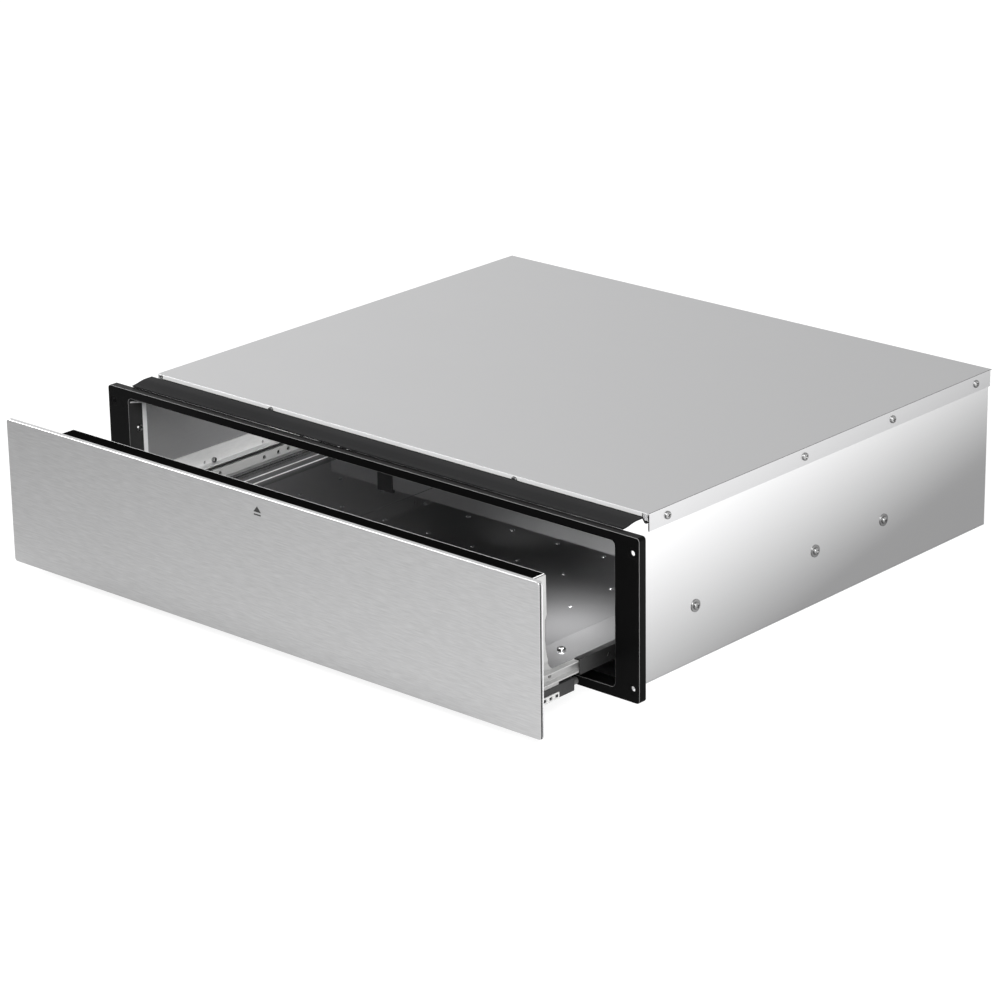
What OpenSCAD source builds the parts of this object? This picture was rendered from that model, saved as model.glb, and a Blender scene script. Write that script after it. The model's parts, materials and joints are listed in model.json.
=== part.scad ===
// Built-in warming drawer for a 140 mm niche, drawn partly open.
// Lengths are in millimetres, +Z is up, the front panel faces -Y.
// Pieces are drawn from the front face of the black frame, with the drawer shut.

/* [Cabinet] */
// Width of the cabinet over its top cover
body_w = 551; // [520:1:580]
// Height of the cabinet
body_h = 142; // [136:0.5:160]
// Depth from the frame's front face to the rear of the side panels
body_d = 499; // [440:1:560]
// Thickness of the folded sheet steel
sheet_t = 0.8; // [0.6:0.1:1.2]
// Overhang of the top cover behind the side panels
cover_back = 3; // [1:0.5:6]
// Height of the cover's side and rear flanges
cover_flange = 15; // [12:0.5:20]
// Height of the cover's front lip
cover_lip = 3.7; // [3:0.1:4.5]
// Distance from the frame's front face to the cover's front lip
cover_y = 38; // [34:0.5:44]

/* [Frame] */
// Width of the black front frame
frame_w = 595; // [585:1:610]
// Height of the black front frame
frame_h = 137.5; // [134:0.5:139]
// Depth of the frame's outer rim
frame_t = 8; // [6:0.5:12]
// Thickness of the frame's front plate
frame_plate_t = 2; // [1.5:0.1:3]
// Width of the frame's outer rim
rim_w = 1.5; // [1.2:0.1:2.5]
// Width of the frame's bottom bar
bottom_bar = 8; // [6:0.5:10]
// Width of the frame's top bar
top_bar = 7.5; // [6:0.5:10]
// Depth of the lip that reaches into the cabinet
lip_d = 16; // [13:0.5:18]
// Thickness of the lip
lip_t = 1; // [0.8:0.1:1.4]
// Distance of the niche screw holes from the frame's side edges
hole_inset = 7; // [6:0.5:9]
// Height of the lower niche screw holes
hole_low = 11.3; // [10:0.1:14]
// Height of the upper niche screw holes
hole_high = 124; // [118:0.5:128]
// Radius of the niche screw holes
hole_r = 2.3; // [2:0.1:2.6]

/* [Front panel] */
// Width of the front panel
panel_w = 595; // [585:1:610]
// Height of the front panel
panel_h = 128; // [122:0.5:130]
// Height of the panel's lower edge above the cabinet's base
panel_z = 9; // [7:0.5:12]
// Thickness of the front panel
panel_t = 4; // [3.5:0.1:6]
// Thickness of the panel's steel skin
skin_t = 1; // [0.8:0.1:1.2]
// Thickness of the steel liner behind the panel's board
liner_t = 1.2; // [0.8:0.1:1.5]
// Gap between the shut panel and the frame
panel_gap = 2.5; // [2:0.1:4]

/* [Drawer] */
// How far the drawer stands open as drawn
rest_open = 110; // [60:1:200]
// Depth of the hollow crossmember behind the panel
cross_d = 41; // [36:0.5:50]
// Height of the crossmember's top
cross_top = 122.8; // [118:0.1:125]
// Height of the tray floor
floor_z = 33.6; // [32.6:0.1:34.6]
// Half width of the tray
tray_half = 255.4; // [250:0.1:256]
// Half width of the dark floor plates
plate_half = 216; // [200:0.5:220]
// Place of the joint between the two floor plates
plate_joint_x = -98; // [-120:1:120]
// Width of the joint between the two floor plates
plate_joint = 0.6; // [0.4:0.1:1]
// Depth of the tray
tray_d = 300; // [260:1:320]
// Height of the tray's back wall above the floor
back_wall_h = 29.6; // [20:0.1:40]
// Spacing of the raised dots on the floor
dot_pitch = 50.6; // [40:0.1:60]

/* [Runners] */
// Length of the runner members
runner_len = 345; // [330:1:360]
// Height of the runner's centre line
runner_z = 37; // [36:0.1:38]
// Height of the middle member
middle_h = 12.8; // [12:0.1:13.6]
// Width of the middle member
middle_w = 5.8; // [5:0.1:6.4]
// Thickness of the runner steel
member_t = 1.2; // [1:0.1:1.4]
// Top edge of the rail plate on the side panel
rail_top = 59.6; // [56:0.1:66]
// Height of the rail screws
rail_screw_z = 47.3; // [47.3:0.1:50]
// Running gap between the runner members
slip = 0.3; // [0.2:0.05:0.4]

/* [Heating] */
// Thickness of the heating mat
mat_t = 1.5; // [1:0.1:2.5]
// Thickness of the insulation board
board_t = 11; // [8:0.5:12]
// Diameter of the mains lead that the gland takes
lead_d = 8; // [6:0.5:9]

/* [Controls] */
// Radius of the thermostat knob
knob_r = 17; // [14:0.5:20]
// Depth of the thermostat knob
knob_d = 12; // [9:0.5:16]
// Height of the controls
control_z = 84; // [70:1:95]
// Place of the knob across the drawer
knob_x = 150; // [120:1:200]
// Width of the rocker switch opening
rocker_w = 21; // [18:0.5:26]
// Height of the rocker switch opening
rocker_h = 15; // [12:0.5:18]

/* [Push latch] */
// Height of the latch body
latch_h = 11; // [9:0.5:11]
// Length of the latch body
latch_len = 42; // [34:1:48]
// Width of the latch body
latch_w = 9; // [8:0.5:12]
// Radius of the latch plunger
plunger_r = 3; // [2.2:0.1:3.4]
// Travel of the latch plunger
plunger_travel = 6; // [4:0.5:8]

/* [Fasteners] */
// Head radius of the sheet-metal screws
head_r = 2.8; // [2.4:0.1:3.2]
// Head height of the sheet-metal screws
head_h = 1.6; // [1.2:0.1:2]
// Shank radius of the sheet-metal screws
shank_r = 1.6; // [1.3:0.1:1.8]
// Radius of the washers under the rail screws
washer_r = 5.4; // [4.5:0.1:6]
// Thickness of the washers
washer_t = 0.8; // [0.6:0.1:1]

/* [Hidden] */
$fn = 32;
cut = 1;
fit_gap = 0.1;

// Heights and half widths that follow from the cabinet
cover_under = body_h - sheet_t;
side_out = body_w / 2 - sheet_t;
side_in = side_out - sheet_t;
open_half = side_in - lip_t;
open_low = bottom_bar;
open_top = frame_h - top_bar;
cover_end = body_d + cover_back;

// The gland is the rearmost piece, the panel the foremost
gland_out = 9;
front_reach = rest_open + panel_gap + panel_t;
back_reach = body_d + gland_out;
face_y = (front_reach - back_reach) / 2;

// Corner radii of the frame and its opening
frame_corner = 3;
open_corner = 4;
dimple_r = 4.5;
dimple_d = 0.4;

// Roof strip between frame and cover: a crest, then a valley before the lip
strip_t = 1;
strip_rise = 1.4;
strip_front_z = frame_h + strip_rise;
crest_z = body_h - sheet_t;
valley_z = body_h - cover_lip - head_r;
crest_share = 0.53;
crest_end_share = 0.77;
valley_share = 0.92;
strip_steps = 6;
strip_d = cover_y - frame_t;
strip_flange = 4.4;

// Side panels
hem_w = 5;
hem_low = bottom_bar + hem_w;
hem_top = min(open_top, cover_under);
rear_flange = 15;
rear_flange_low = 21;
rear_flange_top = body_h - cover_flange;
base_flange = 11;
side_base = sheet_t;
back_y = body_d - 2 * sheet_t;

// Screw rows, as shares of the piece that they run along
cover_screw_shares = [0.05, 0.43, 0.69, 0.95];
rail_screw_shares = [0.22, 0.675, 0.95];
lip_screw_share = 0.497;
cover_screw_z = body_h - cover_flange / 2;
frame_screw_drop = 30;
frame_screw_high = open_top - frame_screw_drop;
frame_screw_heights = [open_low + 2 * lip_t + head_r + head_h, frame_screw_high];
frame_screw_share = 0.4;
frame_screw_y = frame_t + (lip_d - frame_t) * frame_screw_share;
lip_screw_rise = 0.3;
lip_screw_z = body_h - cover_lip + lip_screw_rise;
back_screw_x = side_in - rear_flange / 2;
back_screw_shares = [0.1, 0.5, 0.9];
shank_end = 1.2;
slot_share = 1.2;

// Runner members, from the side panel inwards
rail_t = member_t;
rail_in = side_in - rail_t;
middle_space = 3.5;
middle_out = side_in - middle_space;
middle_in = middle_out - middle_w;
rail_flange_step = 1.6;
rail_flange_in = middle_in + rail_flange_step;
web_space = 0.4;
web_out = middle_in - web_space;
web_in = web_out - member_t;
drawer_flange_out = middle_out - member_t - slip;
drawer_member_h = middle_h - 2 * member_t - 2 * slip;
rail_h = middle_h + 2 * slip + 2 * rail_t;
runner_y = lip_d;
rail_space = 0.5;
rail_y = lip_d + hem_w + rail_space;
seat_z = floor_z - sheet_t;
seat_inset = 9;
seat_in = plate_half + seat_inset;
seat_tail = 37.7;
runner_hole_r = 1.9;
rail_hole_shares = [0.19, 0.4, 0.6, 0.8];
middle_hole_shares = [0.1, 0.35, 0.62, 0.88];
web_hole_shares = [0.3, 0.55, 0.71, 0.762, 0.799];
nut_r_most = 2.4;
nut_r = min(nut_r_most, rail_screw_z - runner_z - rail_h / 2);
nut_d = 2.2;

// Crossmember, end brackets and tray
cross_t = 1;
cross_front = -panel_gap;
cross_back = cross_front + cross_d;
bracket_step = 0.8;
bracket_out = web_out + bracket_step;
bracket_in = bracket_out - member_t;
cross_half = bracket_in;
cross_return = 12;
knee_rise = 2.6;
knee_z = runner_z + middle_h / 2 + knee_rise;
knee_h = 6;
foot_drop = 4.5;
foot_low = runner_z - middle_h / 2 - foot_drop;
cross_low = foot_low + fit_gap;
foot_reach = 16;
foot_back = cross_back + foot_reach;
foot_top = runner_z + fit_gap;
foot_lip = 3;
foot_screw_in = 12;
foot_screw_front = 4;
foot_screw_places = [foot_back - foot_screw_in, runner_y + foot_screw_front];
neck_in = 1.5;
neck_y = cross_back - neck_in;
neck_z = 69;
shoulder_z = 85;
shoulder_h = 4;
shoulder_step = 0.5;
arch_steps = 6;
tray_front = cross_back;
tray_back = tray_front + tray_d;
hem_t = sheet_t;
tray_hem = 4;
bead_h = 0.7;
bead_insets = [18.1, 29.1];
bead_run = 168;
bead_start = tray_back - bead_run;
dot_r = 1.9;
dot_top_r = 1;
dot_h = 0.8;
dot_first = 29;
dot_columns = floor((2 * plate_half - dot_pitch / 2) / dot_pitch);
dot_rows = floor((tray_d - dot_first) / dot_pitch) + 1;
tray_screw_inset = 15;
tray_screw_x = plate_half + tray_screw_inset;
tray_screw_shares = [0.188, 0.5, 0.937];
seat_space = 2;
seat_front = foot_back + seat_space;

// Heating under the tray
pan_inset = 4;
pan_half = plate_half - pan_inset;
pan_front = tray_front + 2 * pan_inset;
pan_back = tray_back - 1.5 * pan_inset;
mat_top = floor_z - 2 * sheet_t - fit_gap;
board_top = mat_top - mat_t - fit_gap;
pan_low = board_top - board_t - sheet_t - fit_gap;
mat_inset = 12;
cutout_r = 8;
cutout_d = 6;
cutout_x = 120;
blade_w = 6.3;
blade_t = 0.8;
blade_len = 7;
clip_w = 18;
clip_x = -187;
clip_t = 1.6;
clip_rise = 3.4;
clip_drop = 24;

// Controls in the crossmember's rear wall
shaft_r = 3;
shaft_gap = 0.3;
therm_r = 16;
therm_d = 22;
therm_stub = 1.2;
pointer_w = 2.4;
grip_flutes = 18;
grip_share = 0.82;
flute_share = 0.86;
pointer_share = 0.78;
pin_gap = 0.05;
rocker_spacing = 62;
rocker_x = knob_x - rocker_spacing;
rocker_body_d = 20;
rocker_rim = 1.6;
rocker_rim_t = 1.5;
rocker_clear = 0.6;
rocker_half = rocker_h / 2 - rocker_rim - rocker_clear;
rocker_base_share = 0.94;
rocker_top_share = 0.81;
rocker_high_share = 1.7;
rocker_mid_share = 0.7;
rocker_low_share = 0.8;
rocker_out = 3;
rocker_pin_r = 1.2;
lamp_spacing = 34;
lamp_x = knob_x - lamp_spacing;
lamp_r = 3.6;
lamp_out = 1.6;
lamp_d = 16;

// Push latch under each end bracket's foot
latch_lap = 8;
latch_front = cross_back - latch_lap;
latch_back = latch_front + latch_len;
latch_top = foot_low;
latch_low = latch_top - latch_h;
latch_step = 0.4;
latch_out = web_in + latch_step;
latch_x = latch_out - latch_w / 2;
plunger_z = latch_low + latch_h / 2;
plunger_nose = 2;
plunger_out = plunger_travel + plunger_nose;
plunger_in = 12;
plunger_gap = 0.3;
clip_plate_h = 5.5;
clip_plate_len = 21;
clip_plate_t = 1;
clip_plate_y = latch_front + 2 * clip_plate_t;
clip_slots = 3;
clip_slot_share = 0.35;
striker_y = latch_back + plunger_out + slip;
striker_w = 16;
striker_t = 1.5;
striker_top = latch_top - striker_t;
striker_foot = 14;

// The board lies a little inside the skin and the liner
core_inset = 0.6;

// Bumpers behind the panel
bumper_r = 4;
bumper_t = panel_gap - slip;
bumper_inset = 17;
bumper_x = panel_w / 2 - bumper_inset;
bumper_rise = 5.5;
bumper_low = panel_z + bumper_rise;
bumper_high = panel_z + panel_h - bumper_rise;

// Terminal box and cable gland on the back panel
box_w = 60;
box_h = 50;
box_d = 26;
box_wall = 2;
box_x = -60;
box_z = 30;
gland_z = box_z + box_h / 2;
gland_wall = 4;
gland_r = lead_d / 2 + gland_wall;
gland_lap = 3;
gland_nut_r = gland_r + gland_lap;
gland_nut_t = 4;
gland_in = 8;
vent_w = 34;
vent_h = 4;
vent_count = 5;
vent_pitch = 46;
vent_drop = 30;
vent_z = body_h - vent_drop;

// Corner brackets of the frame
corner_leg = 12;
corner_t = 1.2;

// Pieces of the cabinet stay put
module at_cabinet() {
  translate([0, face_y, 0]) children();
}

// Pieces of the drawer, moved forward by its opening
module at_drawer() {
  translate([0, face_y - rest_open, 0]) children();
}

// The middle runner members, moved by half of the opening
module at_middle() {
  translate([0, face_y - rest_open / 2, 0]) children();
}

// A block between two corners
module block(low, high) {
  translate(low) cube(high - low);
}

// A block centred across the width
module wide_block(half, y0, y1, z0, z1) {
  block([-half, y0, z0], [half, y1, z1]);
}

// A piece of the right-hand side, turned over for the left
module to_left() {
  mirror([1, 0, 0]) children();
}

// A piece and its mirror twin
module both_sides() {
  children();
  to_left() children();
}

// An outline in the Y-Z plane, made into a plate between two X places
module plate_yz(x0, x1) {
  translate([x0, 0, 0]) rotate([90, 0, 90]) linear_extrude(x1 - x0) children();
}

// An outline in the X-Z plane, made into a plate between two Y places
module plate_xz(y0, y1) {
  translate([0, y1, 0]) rotate([90, 0, 0]) linear_extrude(y1 - y0) children();
}

// A rectangle with round corners, from its lower left corner
module soft_rect(w, h, r) {
  translate([r, 0]) square([w - 2 * r, h]);
  translate([0, r]) square([w, h - 2 * r]);
  for (x = [r, w - r], y = [r, h - r])
    translate([x, y]) circle(r);
}

// A pan-head screw whose head stands on z = 0 and whose shank goes down
module pan_screw(length) {
  difference() {
    union() {
      cylinder(r = head_r, h = head_h / 2);
      translate([0, 0, head_h / 2]) cylinder(r1 = head_r, r2 = head_r / 2, h = head_h / 2);
      translate([0, 0, -length]) cylinder(r = shank_r, h = length + head_h / 4);
    }
    for (turn = [0, 90])
      rotate(turn)
        translate([0, 0, head_h])
          cube([head_r * slot_share, head_r / 4, head_h], center = true);
  }
}

// A pan-head screw driven along -X from the right
module side_screw(x, y, z, length) {
  translate([x, y, z]) rotate([0, 90, 0]) pan_screw(length);
}

// Places along a run, from shares of its length
function along(start, length, shares) = [for (share = shares) start + share * length];

cover_screw_places = along(cover_y, cover_end - cover_y, cover_screw_shares);
rail_screw_places = along(rail_y, runner_len, rail_screw_shares);

// Smooth rise from 0 to 1
function ease(t) = (1 - cos(180 * t)) / 2;

// Top line of the roof strip from the frame to the valley before the cover's lip
strip_line = concat(
  [for (i = [0 : strip_steps])
    [frame_t + strip_d * crest_share * i / strip_steps,
     strip_front_z + (crest_z - strip_front_z) * ease(i / strip_steps)]],
  [for (i = [0 : strip_steps])
    [frame_t + strip_d * (crest_end_share + (valley_share - crest_end_share) * i / strip_steps),
     crest_z + (valley_z - crest_z) * ease(i / strip_steps)]],
  [[cover_y + sheet_t, valley_z]]
);
strip_under = [for (i = [len(strip_line) - 1 : -1 : 0]) strip_line[i] - [0, strip_t]];

// Black frame: front plate, deep outer rim, and a lip into the cabinet
module front_frame() {
  at_cabinet() color([0.05, 0.05, 0.055]) difference() {
    union() {
      plate_xz(0, frame_plate_t)
        translate([-frame_w / 2, 0]) soft_rect(frame_w, frame_h, frame_corner);
      plate_xz(0, frame_t) difference() {
        translate([-frame_w / 2, 0]) soft_rect(frame_w, frame_h, frame_corner);
        translate([rim_w - frame_w / 2, rim_w])
          square([frame_w - 2 * rim_w, frame_h - 2 * rim_w]);
      }
      plate_xz(0, lip_d)
        translate([-open_half - lip_t, open_low - lip_t])
          square([2 * (open_half + lip_t), open_top - open_low + 2 * lip_t]);
    }
    plate_xz(-cut, lip_d + cut)
      translate([-open_half, open_low])
        soft_rect(2 * open_half, open_top - open_low, open_corner);
    for (x = [hole_inset - frame_w / 2, frame_w / 2 - hole_inset], z = [hole_low, hole_high])
      translate([x, 0, z]) rotate([-90, 0, 0]) {
        translate([0, 0, -cut]) cylinder(r = hole_r, h = frame_plate_t + 2 * cut);
        translate([0, 0, -cut]) cylinder(r = dimple_r, h = dimple_d + cut);
      }
    for (x = [-open_half - lip_t - cut, open_half - cut], z = frame_screw_heights)
      translate([x, frame_screw_y, z]) rotate([0, 90, 0])
        cylinder(r = shank_r + fit_gap, h = lip_t + 2 * cut);
  }
}

// Small bright gussets in the upper corners of the frame's opening
module frame_corner_brackets() {
  at_cabinet() color([0.8, 0.8, 0.8]) both_sides()
    translate([open_half, frame_plate_t, open_top - open_corner - corner_t])
      linear_extrude(corner_t)
        polygon([[0, 0], [-corner_leg, corner_leg], [0, corner_leg]]);
}

// Screws through the frame's lip into the side panels
module frame_screws() {
  at_cabinet() color([0.75, 0.75, 0.76]) both_sides()
    for (z = frame_screw_heights)
      translate([open_half, frame_screw_y, z]) rotate([0, -90, 0])
        pan_screw(lip_t + sheet_t + shank_end);
}

// Dark strip that joins the frame to the top cover
module roof_strip() {
  at_cabinet() color([0.14, 0.14, 0.15]) {
    plate_yz(-body_w / 2, body_w / 2) polygon(concat(strip_line, strip_under));
    wide_block(open_half - open_corner, cover_y, cover_y + 2 * sheet_t,
      valley_z - strip_t, valley_z);
    wide_block(open_half - open_corner, cover_y + sheet_t, cover_y + 2 * sheet_t,
      valley_z - strip_t, valley_z + strip_flange);
  }
}

// Top cover with a front lip and three flanges, open at its corners
module top_cover() {
  at_cabinet() color([0.75, 0.75, 0.76]) difference() {
    union() {
      wide_block(body_w / 2, cover_y, cover_end, cover_under, body_h);
      wide_block(open_half - open_corner, cover_y, cover_y + sheet_t, body_h - cover_lip, body_h);
      both_sides()
        block([side_out, cover_y + sheet_t, body_h - cover_flange],
          [body_w / 2, cover_end - 2 * sheet_t, body_h]);
      wide_block(side_out - sheet_t, cover_end - sheet_t, cover_end,
        body_h - cover_flange, body_h);
    }
    for (y = cover_screw_places)
      translate([-body_w, y, cover_screw_z]) rotate([0, 90, 0])
        cylinder(r = shank_r + fit_gap, h = 2 * body_w);
    for (x = [-1, 1] * lip_screw_share * body_w / 2)
      translate([x, cover_y - cut, lip_screw_z]) rotate([-90, 0, 0])
        cylinder(r = shank_r + fit_gap, h = sheet_t + 2 * cut);
  }
}

// Side panel: its top follows the roof strip, its front edge is hemmed inwards
module side_panel() {
  difference() {
    union() {
      plate_yz(side_in, side_out)
        polygon(concat(
          [[frame_t, side_base]],
          [for (p = strip_line) if (p[0] < cover_y)
            [p[0], min(cover_under, p[1] - strip_t - fit_gap)]],
          [[cover_y + sheet_t + fit_gap, valley_z - strip_t - fit_gap],
           [cover_y + sheet_t + fit_gap, cover_under],
           [body_d, cover_under], [body_d, side_base]]));
      block([side_in - sheet_t, lip_d, hem_low], [side_in, lip_d + hem_w, hem_top]);
      block([side_in - rear_flange, body_d - sheet_t, rear_flange_low],
        [side_out, body_d, rear_flange_top]);
    }
    for (y = cover_screw_places)
      translate([side_in - cut, y, cover_screw_z]) rotate([0, 90, 0])
        cylinder(r = shank_r + fit_gap, h = sheet_t + 2 * cut);
    for (y = rail_screw_places)
      translate([side_in - cut, y, rail_screw_z]) rotate([0, 90, 0])
        cylinder(r = shank_r + fit_gap, h = sheet_t + 2 * cut);
    for (z = frame_screw_heights)
      translate([side_in - cut, frame_screw_y, z]) rotate([0, 90, 0])
        cylinder(r = shank_r + fit_gap, h = sheet_t + 2 * cut);
    for (share = back_screw_shares)
      translate([back_screw_x, body_d - sheet_t - cut,
        rear_flange_low + share * (rear_flange_top - rear_flange_low)])
        rotate([-90, 0, 0]) cylinder(r = shank_r + fit_gap, h = sheet_t + 2 * cut);
  }
}

module left_side_panel() {
  at_cabinet() color([0.8, 0.8, 0.81]) to_left() side_panel();
}

module right_side_panel() {
  at_cabinet() color([0.8, 0.8, 0.81]) side_panel();
}

// Base sheet with flanges turned up inside the side panels
module bottom_panel() {
  at_cabinet() color([0.7, 0.7, 0.71]) {
    wide_block(side_out, frame_t, body_d, 0, sheet_t);
    both_sides()
      block([side_in - sheet_t, lip_d + fit_gap, sheet_t],
        [side_in, back_y, base_flange]);
  }
}

// Back panel with a row of vent slots and the gland's hole
module back_panel() {
  at_cabinet() color([0.66, 0.66, 0.67]) difference() {
    wide_block(side_in, back_y, back_y + sheet_t, sheet_t, cover_under);
    translate([box_x, back_y - cut, gland_z]) rotate([-90, 0, 0])
      cylinder(r = gland_r + fit_gap, h = sheet_t + 2 * cut);
    for (i = [0 : vent_count - 1])
      translate([(i - (vent_count - 1) / 2) * vent_pitch - vent_w / 2, back_y - cut, vent_z])
        cube([vent_w, sheet_t + 2 * cut, vent_h]);
    both_sides()
      for (share = back_screw_shares)
        translate([back_screw_x, back_y - cut,
          rear_flange_low + share * (rear_flange_top - rear_flange_low)])
          rotate([-90, 0, 0]) cylinder(r = shank_r + fit_gap, h = sheet_t + 2 * cut);
  }
}

// Screws through the cover's flanges into the side panels
module cover_side_screws() {
  at_cabinet() color([0.6, 0.6, 0.6]) both_sides()
    for (y = cover_screw_places)
      side_screw(body_w / 2, y, cover_screw_z, 2 * sheet_t + shank_end);
}

// Screws through the cover's front lip into the roof strip's flange
module cover_lip_screws() {
  at_cabinet() color([0.6, 0.6, 0.6])
    for (x = [-1, 1] * lip_screw_share * body_w / 2)
      translate([x, cover_y, lip_screw_z]) rotate([90, 0, 0])
        pan_screw(sheet_t - fit_gap);
}

// Screws that hold the back panel to the side panels' rear flanges
module back_screws() {
  at_cabinet() color([0.6, 0.6, 0.6]) both_sides()
    for (share = back_screw_shares)
      translate([back_screw_x, body_d,
        rear_flange_low + share * (rear_flange_top - rear_flange_low)])
        rotate([-90, 0, 0]) pan_screw(2 * sheet_t + shank_end);
}

// Outline of a channel that opens towards -X, centred on the runner's height
module channel(x_in, x_out, h, t) {
  difference() {
    translate([x_in, runner_z - h / 2]) square([x_out - x_in, h]);
    translate([x_in - cut, runner_z - h / 2 + t]) square([x_out - x_in - t + cut, h - 2 * t]);
  }
}

// Fixed rail: a plate on the side panel whose lower part is the outer channel
module runner_rail() {
  difference() {
    union() {
      plate_xz(rail_y, rail_y + runner_len)
        channel(rail_flange_in, side_in, rail_h, rail_t);
      block([rail_in, rail_y, runner_z], [side_in, rail_y + runner_len, rail_top]);
    }
    for (y = concat(rail_screw_places, along(rail_y, runner_len, rail_hole_shares)))
      translate([rail_in - cut, y, rail_screw_z]) rotate([0, 90, 0])
        cylinder(r = shank_r + fit_gap, h = rail_t + 2 * cut);
  }
}

module left_runner_rail() {
  at_cabinet() color([0.78, 0.78, 0.78]) to_left() runner_rail();
}

module right_runner_rail() {
  at_cabinet() color([0.78, 0.78, 0.78]) runner_rail();
}

// Screws through the side panels that carry the rails
module rail_screws() {
  at_cabinet() color([0.6, 0.6, 0.6]) both_sides()
    for (y = rail_screw_places)
      side_screw(side_out + washer_t, y, rail_screw_z,
        washer_t + sheet_t + rail_t + nut_d / 2);
}

// Washers under the rail screws
module rail_washers() {
  at_cabinet() color([0.55, 0.55, 0.55]) both_sides()
    for (y = rail_screw_places)
      translate([side_out, y, rail_screw_z]) rotate([0, 90, 0]) difference() {
        cylinder(r = washer_r, h = washer_t);
        translate([0, 0, -cut]) cylinder(r = shank_r + fit_gap, h = washer_t + 2 * cut);
      }
}

// Clinch nuts on the rails, inside the cabinet
module rail_nuts() {
  at_cabinet() color([0.7, 0.7, 0.7]) both_sides()
    for (y = rail_screw_places)
      translate([rail_in - nut_d, y, rail_screw_z]) rotate([0, 90, 0]) difference() {
        cylinder(r = nut_r, h = nut_d);
        translate([0, 0, -cut]) cylinder(r = shank_r + fit_gap / 2, h = nut_d + 2 * cut);
      }
}

// Terminal box on the inside of the back panel, open towards the panel
module terminal_box() {
  at_cabinet() color([0.2, 0.2, 0.2]) difference() {
    block([box_x - box_w / 2, back_y - box_d, box_z],
      [box_x + box_w / 2, back_y, box_z + box_h]);
    block([box_x - box_w / 2 + box_wall, back_y - box_d + box_wall, box_z + box_wall],
      [box_x + box_w / 2 - box_wall, back_y + cut, box_z + box_h - box_wall]);
  }
}

// Cable gland through the back panel, with a bore for the mains lead
module cable_gland() {
  at_cabinet() color([0.1, 0.1, 0.1])
    translate([box_x, back_y - gland_in, gland_z]) rotate([-90, 0, 0]) difference() {
      union() {
        cylinder(r = gland_r, h = back_reach - back_y + gland_in);
        translate([0, 0, gland_in + sheet_t + fit_gap])
          cylinder(r = gland_nut_r, h = gland_nut_t);
      }
      translate([0, 0, -cut])
        cylinder(r = lead_d / 2, h = back_reach - back_y + gland_in + 2 * cut);
    }
}

// Nut that holds the gland from inside
module gland_nut() {
  at_cabinet() color([0.12, 0.12, 0.12])
    translate([box_x, back_y - gland_nut_t, gland_z]) rotate([-90, 0, 0]) difference() {
      cylinder(r = gland_nut_r, h = gland_nut_t - fit_gap, $fn = 6);
      translate([0, 0, -cut]) cylinder(r = gland_r + fit_gap / 2, h = gland_nut_t + cut);
    }
}

// Angle on the base that the latch plunger pushes against
module latch_striker() {
  block([latch_x - striker_w / 2, striker_y, sheet_t],
    [latch_x + striker_w / 2, striker_y + striker_foot, sheet_t + striker_t]);
  block([latch_x - striker_w / 2, striker_y, sheet_t],
    [latch_x + striker_w / 2, striker_y + striker_t, striker_top]);
}

module left_latch_striker() {
  at_cabinet() color([0.7, 0.7, 0.7]) to_left() latch_striker();
}

module right_latch_striker() {
  at_cabinet() color([0.7, 0.7, 0.7]) latch_striker();
}

// Middle runner member, a channel that opens towards the tray
module runner_middle() {
  difference() {
    plate_xz(runner_y, runner_y + runner_len)
      channel(middle_in, middle_out, middle_h, member_t);
    for (y = along(runner_y, runner_len, middle_hole_shares))
      translate([middle_out - member_t - cut, y, runner_z]) rotate([0, 90, 0])
        cylinder(r = runner_hole_r, h = member_t + 2 * cut);
  }
}

module left_runner_middle() {
  at_middle() color([0.72, 0.72, 0.72]) to_left() runner_middle();
}

module right_runner_middle() {
  at_middle() color([0.72, 0.72, 0.72]) runner_middle();
}

// Brushed steel skin of the front panel, folded back along its top
module front_skin() {
  at_drawer() color([0.74, 0.74, 0.75]) {
    plate_xz(-panel_gap - panel_t, skin_t - panel_gap - panel_t)
      translate([-panel_w / 2, panel_z]) soft_rect(panel_w, panel_h, frame_corner);
    wide_block(panel_w / 2 - frame_corner, -panel_gap - panel_t, -panel_gap,
      panel_z + panel_h - skin_t, panel_z + panel_h);
  }
}

// Dark board glued between the skin and the liner
module front_backing() {
  at_drawer() color([0.1, 0.1, 0.1])
    wide_block(panel_w / 2 - core_inset, skin_t - panel_gap - panel_t, -panel_gap - liner_t,
      panel_z + core_inset, panel_z + panel_h - skin_t - fit_gap);
}

// Steel liner behind the board
module front_liner() {
  at_drawer() color([0.7, 0.7, 0.71])
    plate_xz(-panel_gap - liner_t, -panel_gap)
      translate([-panel_w / 2, panel_z])
        soft_rect(panel_w, panel_h - skin_t - fit_gap, frame_corner);
}

// Rubber bumpers that meet the frame when the drawer is shut
module panel_bumpers() {
  at_drawer() color([0.15, 0.15, 0.15]) both_sides()
    for (z = [bumper_low, bumper_high])
      translate([bumper_x, -panel_gap, z]) rotate([-90, 0, 0]) {
        cylinder(r = bumper_r, h = bumper_t / 2);
        translate([0, 0, bumper_t / 2])
          cylinder(r1 = bumper_r, r2 = bumper_r / 2, h = bumper_t / 2);
      }
}

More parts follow.
